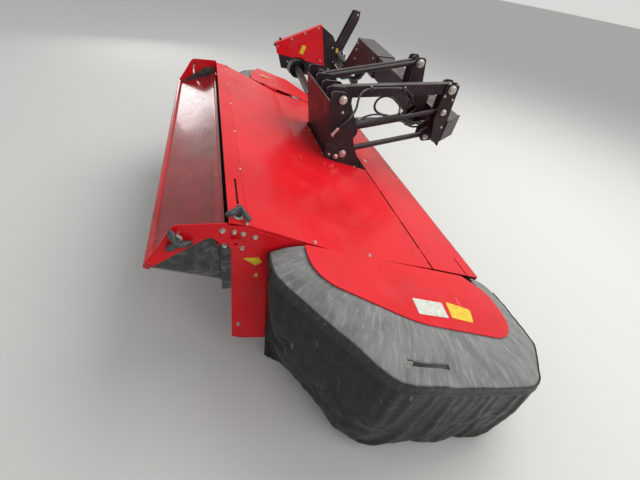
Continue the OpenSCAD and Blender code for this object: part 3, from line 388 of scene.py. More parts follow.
# Powder coat on welded steel: near black with a violet cast, slightly orange-peeled, grey where dust lies
anthracitePaint = layeredFinish("anthracitePaint", {
    "tones": ("#382d30", "#2b2326"), "patch": 0.2, "rough": (0.26, 0.42), "coat": (0.05, 0.12),
    "specular": 0.12,
    "dirt": coating("#85817b", 0.10, (0.18, 0.70), 0.50, facing=(0.35, 0.95)),
    "scratch": coating("#8a8784", 0.015, (0.66, 0.70), 0.5, stretch=(1.0, 1.0, 0.3)),
    "bump": (grain(0.005, 0.00006),),
})
# Rubber belt cut from a thick sheet: mid grey with pale rub marks and dark streaks down its slope
wornRubber = layeredFinish("wornRubber", {
    "coords": "UV", "tones": ("#7d7d7a", "#6a6a68"), "patch": 0.10, "rough": (0.62, 0.8), "specular": 0.25,
    "dirt": coating("#a3a29d", 0.03, (0.45, 0.72), 0.5, stretch=(1.4, 0.35, 1.0), turn=0.5),
    "scratch": coating("#4a4a48", 0.012, (0.60, 0.66), 0.5, stretch=(1.6, 0.25, 1.0), area=0.15, turn=0.6),
    "bump": (grain(0.012, 0.0004, stretch=(1.5, 0.3, 1.0)), grain(0.003, 0.0002)),
})
# Edging of the belt: newer black rubber with a dull shine and pale scuffs across it
edgeRubber = layeredFinish("edgeRubber", {
    "coords": "UV", "tones": ("#1d1d1c", "#141413"), "patch": 0.05, "rough": (0.4, 0.6), "coat": (0.1, 0.3),
    "dirt": coating("#5c5c58", 0.02, (0.50, 0.72), 0.5, stretch=(2.0, 0.4, 1.0)),
    "scratch": coating("#8c8c86", 0.012, (0.62, 0.67), 0.6, stretch=(1.8, 0.3, 1.0)),
    "bump": (grain(0.006, 0.0004),),
})
# Tarpaulin, cloth coated with PVC: black with a low gloss, its tones darkened past the cloth's own black as
# painted shade, scuffed grey on the folds and muddy at the hem
shadedCoatedCloth = layeredFinish("shadedCoatedCloth", {
    "coords": "UV", "tones": ("#11110f", "#090908"), "patch": 0.12, "rough": (0.34, 0.52),
    "coat": (0.12, 0.2),
    "specular": 0.26,
    "dirt": coating("#4d4c46", 0.12, (0.54, 0.76), 0.6, facing=(-1.4, 0.5)),
    "scratch": coating("#7d7c76", 0.03, (0.62, 0.68), 0.5, stretch=(1.0, 0.4, 1.0), area=0.15),
    "bump": (grain(0.05, 0.004, detail=5.0), grain(0.004, 0.0002)),
})
# The edging's rubber again, for plain strips that have no map of their own: black, dull and dusty; the strips
# that wear it stand as painted shade in gaps and slots
shadeStripRubber = layeredFinish("shadeStripRubber", {
    "tones": ("#1b1b1a", "#131312"), "patch": 0.06, "rough": (0.55, 0.7), "specular": 0.3,
    "dirt": coating("#5c5a54", 0.04, (0.50, 0.75), 0.5),
    "bump": (grain(0.006, 0.0004),),
})
# Cut edge of sheet plastic, rubbed pale by the crop
paleEdge = layeredFinish("paleEdge", {
    "tones": ("#77776f", "#666660"), "patch": 0.03, "rough": (0.5, 0.7),
    "dirt": coating("#99978c", 0.02, (0.50, 0.75), 0.5),
    "bump": (grain(0.003, 0.0001),),
})
# Reinforced rubber sheet of the apron, grey-green with road dust
greyRubber = layeredFinish("greyRubber", {
    "tones": ("#666a62", "#54584f"), "patch": 0.1, "rough": (0.6, 0.8),
    "dirt": coating("#9a968a", 0.05, (0.45, 0.7), 0.6),
    "bump": (grain(0.006, 0.0003),),
})
# Zinc-plated bolts and pins: pale, slightly yellowed steel with dull spots
zincSteel = layeredFinish("zincSteel", {
    "tones": ("#c9c8c2", "#b3b0a6"), "patch": 0.01, "rough": (0.25, 0.42), "metallic": 1.0,
    "dirt": coating("#6d6558", 0.012, (0.52, 0.75), 0.5),
    "bump": (grain(0.003, 0.00008),),
})
# Steel worn bright by crop and soil, with rust in the hollows
wornSteel = layeredFinish("wornSteel", {
    "tones": ("#8f8a84", "#77716b"), "patch": 0.05, "rough": (0.3, 0.5), "metallic": 1.0,
    "dirt": coating("#5c3a26", 0.05, (0.50, 0.70), 0.8),
    "scratch": coating("#c8c6c2", 0.01, (0.60, 0.66), 0.6, stretch=(0.3, 1.0, 1.0)),
    "bump": (grain(0.004, 0.0001),),
})
# Hard chrome on the cylinder rods: mirror bright under a film of oil
chromedRod = layeredFinish("chromedRod", {
    "tones": ("#dfe1e4", "#cfd1d5"), "patch": 0.05, "rough": (0.06, 0.16), "metallic": 1.0,
    "scratch": coating("#8c8a88", 0.02, (0.64, 0.7), 0.4, stretch=(1.0, 0.2, 1.0)),
    "bump": (grain(0.003, 0.00001),),
})
# Glass-filled nylon of the hand knobs: dark grey, chalky from the sun
knobNylon = layeredFinish("knobNylon", {
    "tones": ("#3b3d3d", "#2c2e2e"), "patch": 0.03, "rough": (0.42, 0.58),
    "dirt": coating("#8f8d84", 0.012, (0.5, 0.75), 0.5),
    "bump": (grain(0.0015, 0.00005),),
})
# Moulded plastic of the cone, the cover's knobs and the hose wraps: black, matt and dusty in spots
blackPlastic = layeredFinish("blackPlastic", {
    "tones": ("#1b1b1d", "#242426"), "patch": 0.06, "rough": (0.38, 0.52),
    "dirt": coating("#6b6760", 0.03, (0.50, 0.75), 0.5),
    "bump": (grain(0.0015, 0.00005),),
})
# Sheet plastic of the swath boards, scoured by crop to a grey bloom
scouredPlastic = layeredFinish("scouredPlastic", {
    "tones": ("#3a3a3b", "#2b2b2c"), "patch": 0.07, "rough": (0.5, 0.7),
    "dirt": coating("#77746d", 0.04, (0.46, 0.70), 0.5),
    "scratch": coating("#6f6f6e", 0.02, (0.58, 0.64), 0.5, stretch=(1.0, 0.2, 1.0)),
    "bump": (grain(0.002, 0.0001),),
})
# Hydraulic hose: smooth black synthetic rubber with a dull sheen
hoseRubber = layeredFinish("hoseRubber", {
    "tones": ("#1a1a1b", "#262627"), "patch": 0.04, "rough": (0.35, 0.5),
    "dirt": coating("#77736a", 0.03, (0.48, 0.72), 0.6),
    "bump": (grain(0.003, 0.0001),),
})
# Vinyl stickers, plain: faded yellow and dirty white
yellowVinyl = layeredFinish("yellowVinyl", {
    "tones": ("#e3c21c", "#d1a912"), "patch": 0.03, "rough": (0.4, 0.6),
    "dirt": coating("#8a7a4a", 0.012, (0.5, 0.7), 0.5),
})
whiteVinyl = layeredFinish("whiteVinyl", {
    "tones": ("#d3d2c6", "#bfbeb0"), "patch": 0.02, "rough": (0.45, 0.6),
    "dirt": coating("#8c8a78", 0.012, (0.5, 0.7), 0.5),
})
# Reflector lens: clear orange acrylic over tiny prisms
orangeLens = layeredFinish("orangeLens", {
    "tones": ("#e0701a", "#c9590e"), "patch": 0.004, "rough": (0.12, 0.2), "coat": (1.0, 0.05),
    "bump": (grain(0.004, 0.0003),),
})
print("finishes ready")

# Hoses of the float cylinder, along the frame's own route points, in metres; each ends in its fittings
hoseRuns = {
    "hoseFloat": {"node": "hose_float", "diameter": 0.016, "route": [
        (-.280, .772, .868), (-.280, .756, .868), (-.279, .728, .862), (-.274, .695, .858),
        (-.258, .648, .864), (-.234, .605, .881), (-.208, .565, .905), (-.187, .528, .936),
        (-.171, .500, .972), (-.154, .486, 1.010), (-.134, .481, 1.050), (-.112, .474, 1.088),
        (-.090, .466, 1.118), (-.066, .456, 1.142), (-.046, .446, 1.155), (-.033, .428, 1.174),
        (-.034, .398, 1.197), (-.036, .360, 1.211), (-.036, .300, 1.213), (-.036, .220, 1.206),
        (-.036, .140, 1.197), (-.035, .108, 1.193), (-.029, .074, 1.186), (-.015, .044, 1.175),
        (.006, .020, 1.157), (.030, .004, 1.132), (.054, -.006, 1.104), (.076, -.020, 1.078),
        (.095, -.041, 1.052), (.107, -.067, 1.027), (.112, -.093, 1.001), (.112, -.117, .976),
        (.112, -.136, .951), (.112, -.150, .932)]},
    "hoseFoot": {"node": "hose_foot", "diameter": 0.014, "route": [
        (-.118, .098, .934), (-.118, .113, .947), (-.121, .150, .968), (-.123, .200, .984),
        (-.124, .245, .990), (-.122, .292, .990), (-.120, .340, .984), (-.119, .388, .973),
        (-.121, .435, .959), (-.130, .485, .944), (-.148, .530, .930), (-.171, .575, .917),
        (-.198, .618, .908), (-.228, .658, .903), (-.254, .695, .902), (-.271, .730, .903),
        (-.277, .754, .903), (-.277, .772, .903)]},
    "hoseGland": {"node": "hose_gland", "diameter": 0.014, "route": [
        (-.075, .398, 1.034), (-.075, .398, 1.052), (-.079, .388, 1.076), (-.088, .368, 1.098),
        (-.100, .340, 1.117), (-.112, .308, 1.128), (-.122, .274, 1.128), (-.131, .244, 1.114),
        (-.138, .224, 1.090), (-.144, .216, 1.060), (-.149, .222, 1.030), (-.154, .244, 1.004),
        (-.160, .278, .986), (-.166, .320, .976), (-.174, .370, .968), (-.184, .425, .958),
        (-.197, .480, .946), (-.213, .535, .933), (-.232, .590, .919), (-.256, .640, .906),
        (-.280, .685, .897), (-.298, .722, .889), (-.306, .752, .884), (-.306, .772, .884)]},
}
hoseTrim = {"steps": 150, "sleeve": 0.036, "rings": 4, "wrapFrom": 0.20, "wrapTo": 0.52,
            "wrapPitch": 0.013, "wrapWire": 0.0016}


# Spiral guard: a wire wound about the hose, point = line + radius * (cos a * side + sin a * lift), where a
# grows by one turn for each pitch along it
def spiralShape(line, radius, pitch, wire):
    length = pathLength(line)
    fine = evenly(line, int(length / pitch * 12))
    side, lift = carriedFrames(fine)
    angle = (np.linspace(0, length / pitch, len(fine)) * 2 * math.pi)[:, None]
    return tubeShape(fine + radius * (np.cos(angle) * side + np.sin(angle) * lift), wire, 5)


def runHoses():
    sleeves, wraps = [], []
    for name, run in hoseRuns.items():
        radius = run["diameter"] / 2
        line = smoothRoute(run["route"], hoseTrim["steps"])
        hose = makePiece(name, [tubeShape(line, radius, 14)], "boom", hoseRubber, crease=60,
                         replaced=[run["node"]])
        crimped = [(0, radius), (0, radius + .003)]
        for k in range(hoseTrim["rings"]):
            at = hoseTrim["sleeve"] * (0.12 + 0.22 * k)
            crimped += [(at, radius + .004), (at + .004, radius + .0045), (at + .0055, radius + .003)]
        crimped += [(hoseTrim["sleeve"], radius + .0035), (hoseTrim["sleeve"], radius)]
        for end, inner in ((line[0], line[5]), (line[-1], line[-6])):
            sleeves.append(latheShape(crimped, end, inner - end, 18))
        first, last = (int(hoseTrim[key] * len(line)) for key in ("wrapFrom", "wrapTo"))
        if run["node"] != "hose_foot":
            wraps.append(spiralShape(line[first:last], radius + hoseTrim["wrapWire"], hoseTrim["wrapPitch"],
                                     hoseTrim["wrapWire"]))
    makePiece("hoseSleeves", sleeves, "boom", zincSteel)
    makePiece("hoseWraps", wraps, "boom", blackPlastic, crease=60)


runHoses()
print("hoses run")

finishOfNode = {
    "deck_rear": redEnamel, "deck_middle": redEnamel, "front_flap": redEnamel, "guard_near": redEnamel,
    "guard_far": redEnamel, "wall_near": redEnamel, "wall_far": redEnamel, "drive_cover": redEnamel,
    "hood": scuffedEnamel, "drive_cone": blackPlastic,
    "swath_board_near": scouredPlastic, "swath_board_far": scouredPlastic,
    "conditioner_rotor": wornSteel, "skids": wornSteel, "tower_pins": zincSteel,
    "hose_fittings": zincSteel, "fold_rod": chromedRod, "shaft_tube": blackPlastic,
    "shaft_rod": blackPlastic,
}
for nodeName, cadObject in nodes.items():
    finish = finishOfNode.get(nodeName, anthracitePaint)
    for entry in cadObject.material_slots:
        steelFace = "steel" in entry.material.name or "chrom" in entry.material.name
        entry.link = "OBJECT"
        entry.material = zincSteel if steelFace and finish is anthracitePaint else finish
print("frame painted")

# Guard edges: corner tables are metres out from the hinge, metres ahead of the disc axes, corner radius
guard = {
    "hingeX": 1.190, "middleZ": 0.690, "slope": math.radians(16.9), "sheet": 0.005,
    "bandDrop": 0.080, "bandThick": 0.008, "hemZ": 0.030,
    "innerNear": [(-.006, -.555, 0), (.185, -.555, .15), (.352, -.19, .26), (.402, .41, .16),
                  (.19, .44, .06), (-.006, .44, 0)],
    "outerNear": [(-.006, -.735, 0), (.13, -.735, .15), (.612, -.33, .26), (.612, .47, .24),
                  (.37, .69, .11), (-.006, .69, 0)],
    "hemNear": [(-.006, -.715, 0), (.095, -.56, .11), (.53, -.36, .18), (.612, .35, .2), (.4, .64, .1),
                (-.006, .64, 0)],
    "innerFar": [(-.006, -.56, 0), (.15, -.56, .05), (.5, -.44, .04), (.505, -.17, .03), (.3, 0, .06),
                 (-.006, .09, 0)],
    "outerFar": [(-.006, -.735, 0), (.18, -.735, .08), (.6, -.59, .09), (.612, -.11, .09), (.35, .09, .1),
                 (-.006, .16, 0)],
    "drapeFar": [(-.006, -.735, 0), (.18, -.735, .08), (.6, -.59, .09), (.612, -.11, .05), (.612, .47, .2),
                 (.37, .69, .11), (-.006, .69, 0)],
    "hemFar": [(-.006, -.715, 0), (.18, -.715, .08), (.6, -.57, .09), (.602, -.11, .05), (.602, .45, .2),
               (.37, .67, .11), (-.006, .67, 0)],
}


def guardHeight(y):
    return guard["middleZ"] - math.tan(guard["slope"]) * y


# A table's path at its place: x counts outwards from the hinge of that side
def guardPath(table, side, count):
    path = evenly(roundedPath(guard[table]), count)
    return side * (guard["hingeX"] + path[:, 0]), path[:, 1]


# Rubber band: from the inner path to the outer one, height = guard plane - drop * (0.35 v + 0.65 v^2),
# with a wavy lower edge that has worn unevenly; a tear is a lens cut out of it, with its outer lip lifted
tear = {"middle": -0.20, "half": 0.12, "v": 0.70, "open": 0.050, "lift": 0.016}


def rubberBand(name, side, inner, outer, body, node, torn=False, columns=300, rows=26):
    x0, y0 = guardPath(inner, side, columns)
    x1, y1 = guardPath(outer, side, columns)
    v = np.linspace(0, 1, rows)[:, None]
    along = np.linspace(0, 2.3, columns)[None, :]
    wave = 0.006 * softWaves(along, 11 if side > 0 else 12, longest=0.5) * v ** 2
    x = x0 + (x1 - x0) * v
    y = y0 + (y1 - y0) * v
    z = guardHeight(y) - guard["sheet"] - guard["bandDrop"] * (0.35 * v + 0.65 * v ** 2) + wave - 0.001
    place = (y1 - tear["middle"]) / tear["half"] + np.where(np.abs(x1) > 1.7, 0, 9)
    if torn:
        z = z + tear["lift"] * np.clip(1 - place ** 2, 0, 1) * np.clip((v - tear["v"]) / 0.04, 0, 1)
    points, faces = gridShape(np.stack([x, y, z], axis=-1))
    uv = stacked(along, v * 0.2)
    if torn:
        lens = np.abs(v - tear["v"]) < tear["open"] * np.sqrt(np.clip(1 - place ** 2, 0, 1))
        kept = ~lens[:-1, :-1].ravel()
        faces = [face for face, keep in zip(faces, kept) if keep]
    if side < 0:
        faces = [face[::-1] for face in faces]
    band = makePiece(name, [(points, faces)], body, wornRubber, uv=uv, replaced=[node])
    addWall(band, guard["bandThick"], -1)
    edgeStrip(name + "Edging", side, np.stack([x1, y1, z[-1]], axis=-1), body)


# Edging: a closed profile (out, down) carried along the band's lower edge, square to it
edging = {"profile": [(.000, -.002), (.004, -.005), (.007, .000), (.009, .030), (.013, .034), (.013, .041),
                      (.009, .044), (.002, .044), (.001, .030)]}


def edgeStrip(name, side, edge, body):
    normal = np.stack([np.gradient(edge[:, 1]), -np.gradient(edge[:, 0]), 0 * edge[:, 0]], axis=-1)
    normal = unitRows(normal * side)
    profile = np.array(edging["profile"])
    up = np.array([0.0, 0.0, 1.0])
    points = edge[:, None] + profile[None, :, :1] * normal[:, None] - profile[None, :, 1:] * up
    around = runLength(profile)
    length = runLength(edge)
    uv = stacked(length[:, None], around[None, :])
    shape, faces = gridShape(points, wrapColumns=True)
    count, last = len(profile), len(shape) - len(profile)
    faces += [list(range(count)), list(range(last, last + count))[::-1]]
    if side > 0:
        faces = [face[::-1] for face in faces]
    makePiece(name, [(shape, faces)], body, edgeRubber, crease=50, uv=uv)


rubberBand("bandNear", 1, "innerNear", "outerNear", "guard", "band_near", torn=True)
rubberBand("bandFar", -1, "innerFar", "outerFar", "boom", "band_far")

# Curtains: sizes in metres; ends is how far from a side edge the folds reach their full depth
curtain = {"columns": 170, "rows": 44, "thickness": 0.0025, "bulge": 0.05, "fold": 0.014, "crease": 0.007,
           "ends": 0.15, "step": 0.11, "hemWave": 0.012, "lowest": 0.004}


# Hanging curtain: each point lies between the top edge and the hem; the middle swells outwards as sin(pi v)
# and folds run down it, deeper towards the hem
def curtainPoints(side, top, bottom, stepped, seed):
    columns, rows = curtain["columns"], curtain["rows"]
    x0, y0 = guardPath(top, side, columns)
    x1, y1 = guardPath(bottom, side, columns)
    v = np.linspace(0, 1, rows)[:, None]
    length = np.concatenate([[0], np.cumsum(np.hypot(np.diff(x0), np.diff(y0)))])[None, :]
    drop = guard["sheet"] + guard["bandDrop"] + guard["bandThick"] + 0.002
    lowered = stepped * curtain["step"] * np.clip((y0 + 0.15) / 0.15, 0, 1)
    z0 = guardHeight(y0) - drop - lowered
    normal = unitRows(np.stack([np.gradient(y0), -np.gradient(x0)], axis=-1) * side)
    ends = np.clip(np.minimum(length, length[:, -1:] - length) / curtain["ends"], 0, 1)
    swell = 0.6 + 0.5 * softWaves(length, seed, 4, 1.1)
    swell = curtain["bulge"] * np.sin(math.pi * v ** 0.8) * swell * ends
    lean = length + 0.12 * softWaves(v * 0.5 + length * 0.3, seed + 1, 3, 0.7)
    folds = curtain["fold"] * softWaves(lean, seed + 2, 5, 0.33) * v ** 0.7 * ends
    creases = curtain["crease"] * softWaves(v * 0.45 + 0.25 * length, seed + 3, 5, 0.2)
    creases = creases * np.sin(math.pi * v) * ends
    out = swell + folds + creases
    x = x0 + (x1 - x0) * v + out * normal[None, :, 0]
    y = y0 + (y1 - y0) * v + out * normal[None, :, 1]
    hem = curtain["hemWave"] * v * (1 + softWaves(length, seed + 4, 5, 0.4)) * ends
    z = z0 + (guard["hemZ"] - z0) * v - hem
    points = np.stack([x, y, np.maximum(z, curtain["lowest"])], axis=-1)
    uv = stacked(length, v * 0.55)
    return points, uv


# Lets a hung sheet settle under its own weight as cloth a little larger than its hang, so that it creases;
# rows keep the share of their place that held gives them, and no point moves further than the cap
settling = {"frames": 26, "grow": -0.05, "cap": 0.040, "mass": 0.45, "bending": 1.2}


def settledPoints(points, held):
    rows, columns = points.shape[:2]
    start, faces = gridShape(points)
    mesh = bpy.data.meshes.new("settling")
    mesh.from_pydata(start.tolist(), [], faces)
    sheet = bpy.data.objects.new("settling", mesh)
    scene.collection.objects.link(sheet)
    group = sheet.vertex_groups.new(name="held")
    level = np.round(np.broadcast_to(held, (rows, columns)).ravel(), 2)
    for value in np.unique(level):
        group.add(np.flatnonzero(level == value).tolist(), float(value), "REPLACE")
    cloth = sheet.modifiers.new("settling", "CLOTH")
    cloth.settings.quality = 5
    cloth.settings.mass = settling["mass"]
    cloth.settings.tension_stiffness = 20
    cloth.settings.compression_stiffness = 20
    cloth.settings.shear_stiffness = 8
    cloth.settings.bending_stiffness = settling["bending"]
    cloth.settings.vertex_group_mass = "held"
    cloth.settings.shrink_min = settling["grow"]
    cloth.collision_settings.use_collision = False
    cloth.point_cache.frame_end = settling["frames"]
    for number in range(1, settling["frames"] + 1):
        scene.frame_set(number)
    settled = sheet.evaluated_get(bpy.context.evaluated_depsgraph_get())
    moved = np.empty(len(start) * 3)
    settled.data.vertices.foreach_get("co", moved)
    moved = moved.reshape(-1, 3) - start
    far = np.linalg.norm(moved, axis=1, keepdims=True)
    moved *= settling["cap"] * np.tanh(far / settling["cap"]) / np.maximum(far, 1e-9)
    bpy.data.objects.remove(sheet)
    scene.frame_set(1)
    ended = (start + moved).reshape(points.shape)
    ended[..., 2] = np.maximum(ended[..., 2], curtain["lowest"])
    return ended


def hangCurtain(name, side, top, hem, body, node, stepped=0, seed=3):
    points, uv = curtainPoints(side, top, hem, stepped, seed)
    v = np.linspace(0, 1, points.shape[0])[:, None]
    u = np.linspace(0, 1, points.shape[1])[None, :]
    held = np.maximum(np.clip(1 - v / 0.06, 0, 1), np.clip(1 - np.minimum(u, 1 - u) / 0.02, 0, 1))
    points = settledPoints(points, np.maximum(held, 0.35 * np.clip((v - 0.8) / 0.2, 0, 1)))
    if side < 0:
        points, uv = points[:, ::-1], uv[:, ::-1]
    # The cloth's near-black tones are partly painted shade
    cloth = makePiece(name, [gridShape(points)], body, shadedCoatedCloth, crease=80, uv=uv,
                      replaced=[node])
    addWall(cloth, curtain["thickness"], 0)


hangCurtain("curtainNear", 1, "outerNear", "hemNear", "guard", "curtain_near", seed=3)
hangCurtain("curtainFar", -1, "drapeFar", "hemFar", "boom", "curtain_far", stepped=1, seed=23)
print("guards dressed")

# Front apron: a rubber sheet clamped along the flap's lip, hanging in shallow waves
apron = {"thickness": 0.004, "columns": 180, "rows": 26}


def frontApron():
    low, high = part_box("front_apron")
    x = np.linspace(low[0], high[0], apron["columns"])[None, :]
    v = np.linspace(0, 1, apron["rows"])[:, None]
    lip = np.clip(v / 0.12, 0, 1)
    front = high[1] - 0.003
    y = front - 0.010 * lip + 0.012 * softWaves(x, 41, 5, 0.6) * np.clip(v - 0.12, 0, 1)
    z = high[2] - (high[2] - low[2] - 0.004) * v + 0 * x
    points = stacked(x, y, z)
    uv = stacked(x, v * 0.5)
    sheet = makePiece("frontApron", [gridShape(points[::-1])], "front_flap", greyRubber,
                      crease=80, uv=uv[::-1], replaced=["front_apron"])
    addWall(sheet, apron["thickness"], 0)


frontApron()
print("apron hung")

# Flat plate with rounded corners on any plane: corners are points of its outline, raised along their normal
def panelShape(corners, radius, thick, lift=0.0003):
    corners = np.asarray(corners, float)
    middle = corners.mean(axis=0)
    first = unitRows(corners[1] - corners[0])
    normal = unitRows(np.cross(first, corners[2] - corners[0]))
    second = np.cross(normal, first)
    flat = np.stack([(corners - middle) @ first, (corners - middle) @ second], axis=1)
    start = (flat[0] + flat[-1]) / 2
    table = [(*start, 0)] + [(*corner, radius) for corner in flat] + [(*start, 0)]
    outline = roundedPath(table)[:-1]
    rim = middle + outline[:, :1] * first + outline[:, 1:] * second
    inset = middle + 0.985 * (rim - middle)
    layers = [rim + normal * lift, rim + normal * (lift + thick * 0.8), inset + normal * (lift + thick)]
    points, faces = gridShape(np.stack(layers), wrapColumns=True)
    count = len(outline)
    return points, faces + [list(range(count)), list(range(2 * count, 3 * count))[::-1]]


# Closed outline with rounded corners, from a table (a, b, radius)
def closedOutline(table, steps=6):
    start = (np.array(table[0][:2]) + np.array(table[-1][:2])) / 2
    return roundedPath([(*start, 0), *table, (*start, 0)], steps)[:-1]


# Flat plate with holes: outline and holes lie in the plane square to the axis number, and triangles fill both
# faces
def cutPlateShape(outline, holes, axis, low, high):
    loops = [np.asarray(loop, float) for loop in (outline, *holes)]
    flat = np.vstack(loops)
    count = len(flat)
    points = np.zeros((2 * count, 3))
    points[:, [k for k in range(3) if k != axis]] = np.vstack([flat, flat])
    points[:count, axis], points[count:, axis] = low, high
    filled = tessellate_polygon([[(a, b, 0.0) for a, b in loop] for loop in loops])
    faces = [list(face) for face in filled] + [[k + count for k in face[::-1]] for face in filled]
    start = 0
    for loop in loops:
        ring = np.arange(start, start + len(loop))
        after = np.roll(ring, -1)
        faces += np.stack([ring, after, after + count, ring + count], axis=1).tolist()
        start += len(loop)
    return points, faces


# Bent sheet: a path in y and z, given a wall on its lower side and carried along x, with slight dents
def bentSheetShape(path, thick, low, high, columns=60, dent=0.0, seed=1):
    path = np.asarray(path, float)
    along = unitRows(np.gradient(path, axis=0))
    under = path + thick * np.stack([along[:, 1], -along[:, 0]], axis=1)
    loop = np.vstack([path, under[::-1]])
    x = np.linspace(low, high, columns)
    points = np.empty((columns, len(loop), 3))
    points[..., 0] = x[:, None]
    points[..., 1:] = loop[None]
    points[..., 2] += dent * softWaves(x, seed, 4, 0.9)[:, None]
    shape, faces = gridShape(points, wrapColumns=True)
    count, last = len(loop), len(shape) - len(loop)
    return shape, faces + [list(range(count)), list(range(last, last + count))]


# Rear hood: tray with a folded front lip, rolled rear edge, and end plates with an arc slot about the pivot.
# Corner tables are y, z and corner radius; board and bead belong to the swath boards that hang under it
hood = {
    "pivot": (-.875, .885), "plateIn": 1.1845, "plateOut": 1.1890, "slotRadius": .222, "slotHalf": .0055,
    "slotAngles": (160, 184), "roll": (-1.215, .790), "rollRadius": .017,
    "tray": [(-1.216, .8065, 0), (-1.196, .7985, .01), (-.940, .8864, 0)],
    "lip": [(-.952, .8833, 0), (-.932, .8900, .006), (-.926, .9050, .004), (-.914, .9070, 0)],
    "plate": [(-1.228, .784, .008), (-1.228, .800, .008), (-1.170, .884, .04), (-1.113, .972, .025),
              (-1.092, .9885, .012), (-.905, .9915, .010), (-.896, .955, .006), (-.896, .910, .006),
              (-.853, .909, .020), (-.853, .861, .020), (-.898, .861, .018), (-.908, .892, .008),
              (-.932, .889, .012), (-.964, .926, .020), (-.994, .917, .020), (-1.096, .852, .06),
              (-1.205, .779, .008)],
    "board": [(-1.207, .768, .008), (-1.208, .747, .006), (-.926, .649, .006), (-.915, .654, .004),
              (-.915, .870, .006), (-.960, .858, .02)],
    "shield": [(-1.198, .800, .004), (-1.090, .873, .02), (-.988, .938, .01), (-.921, .938, .006),
               (-.921, .868, .006), (-1.190, .783, .006)],
    "shieldX": (1.1605, 1.1640), "trayHalf": 1.147, "boardX": (1.1500, 1.1560), "hinge": (1.153, -.920),
    "hingeRadius": .008,
    "pinRadius": .0075, "sheet": .003, "overlap": .002, "bead": [(-1.200, .7480), (-.930, .6540)],
    "beadRadius": .0042,
}


def ringOf(centre, radius, steps=20):
    t = np.linspace(0, 2 * math.pi, steps, endpoint=False)
    return np.stack([centre[0] + radius * np.cos(t), centre[1] + radius * np.sin(t)], axis=1)


def rearHood():
    t = np.radians(np.linspace(*hood["slotAngles"], 12))
    inner, outer = hood["slotRadius"] - hood["slotHalf"], hood["slotRadius"] + hood["slotHalf"]
    turns = np.concatenate([t, t[::-1]])
    reach = np.concatenate([np.full(12, outer), np.full(12, inner)])
    slot = np.array(hood["pivot"]) + reach[:, None] * np.stack([np.cos(turns), np.sin(turns)], axis=1)
    plate = closedOutline(hood["plate"])
    pin = ringOf(hood["pivot"], hood["pinRadius"])
    half, sheet, end = hood["trayHalf"], hood["sheet"], hood["plateOut"]
    tray = bentSheetShape(roundedPath(hood["tray"], 6), sheet, -half, half, dent=.0006, seed=51)
    # The tray's darker tones are painted shade
    makePiece("hoodTray", [tray], "hood", shadedTrayEnamel, crease=30, replaced=["hood"])
    lipEnd = hood["plateIn"] + hood["overlap"]
    panel = [bentSheetShape(roundedPath(hood["lip"], 6), sheet, -lipEnd, lipEnd)]
    past, full, worn = end + hood["overlap"], hood["rollRadius"], hood["rollRadius"] * .9
    roll = [(-past, 0), (-past, worn), (-end, full), (end, full), (past, worn), (past, 0)]
    panel.append(latheShape(roll, (0, *hood["roll"]), (1, 0, 0), 28))
    makePiece("hoodPanel", panel, "hood", scuffedEnamel, crease=30, replaced=["hood"])
    plates = [cutPlateShape(plate, [slot, pin], 0, *sideSpan(side, (hood["plateIn"], end)))
              for side in (1, -1)]
    makePiece("hoodPlates", plates, "hood", redEnamel, crease=30, bevel=.0012,
              replaced=["hood"])
    shield = closedOutline(hood["shield"])
    shields = [plateShape(shield, 0, *sideSpan(side, hood["shieldX"])) for side in (1, -1)]
    makePiece("hoodShields", shields, "hood", scouredPlastic, crease=30)


rearHood()


# Swath boards: a slanted plastic plate on a round hinge post, with a worn bead along its lower edge
def swathBoard(name, side, body, node):
    board = closedOutline(hood["board"])
    low, high = sideSpan(side, hood["boardX"])
    post = [(.628, 0), (.628, .006), (.631, hood["hingeRadius"]), (.893, hood["hingeRadius"]), (.896, .006),
            (.896, 0)]
    middle = side * hood["hinge"][0]
    shapes = [plateShape(board, 0, low, high),
              latheShape(post, (middle, hood["hinge"][1], 0), (0, 0, 1), 20)]
    makePiece(name, shapes, body, scouredPlastic, crease=30, replaced=[node])
    bead = tubeShape(evenly([(middle, *end) for end in hood["bead"]], 12), hood["beadRadius"], 10)
    makePiece(name + "Bead", [bead], body, paleEdge, crease=60)


swathBoard("swathBoardNear", 1, "swath_board_near", "swath_board_near")
swathBoard("swathBoardFar", -1, "swath_board_far", "swath_board_far")

# Strips that close the gaps: black strips under the deck's rear lip and under the slots of deck and flap,
# painted shade for the dark of those gaps and slots, and plastic along the walls' rear edges
gapStripSizes = {"outlet": [(-.8925, .957, 0), (-.8925, .886, .02), (-.915, .868, .02), (-.960, .862, 0)],
         "thick": .003,
         "half": 1.138, "wall": (1.1625, 1.1715), "wallY": (-.9345, -.8935), "wallZ": (.604, .880),
         "deckSlot": ((.790, -.884, .9585), (1.100, -.838, .9625)),
         "flapSlot": [(1.008, .388, .5555), (1.160, .388, .5555), (1.160, .448, .5380),
                      (1.008, .448, .5380)]}


def gapStripsAndShade():
    # The outlet strip and the box under the deck's slot are black, painted shade for the dark gap and slot
    outlet = roundedPath(gapStripSizes["outlet"], 6)
    shapes = [bentSheetShape(outlet, gapStripSizes["thick"], -gapStripSizes["half"], gapStripSizes["half"])]
    shapes.append(boxShape(*gapStripSizes["deckSlot"]))
    makePiece("gapStripsAndShade", shapes, "boom", shadeStripRubber, crease=40)
    strips = []
    for side in (1, -1):
        ends = zip(sideSpan(side, gapStripSizes["wall"]), gapStripSizes["wallY"], gapStripSizes["wallZ"])
        strips.append(boxShape(*ends))
    makePiece("wallStrips", strips, "boom", scouredPlastic, crease=40)
    # A black panel on the flap's slot, painted shade for the dark of the slot
    makePiece("flapSlotShade", [panelShape(gapStripSizes["flapSlot"], .004, .002)], "front_flap", shadeStripRubber)


gapStripsAndShade()

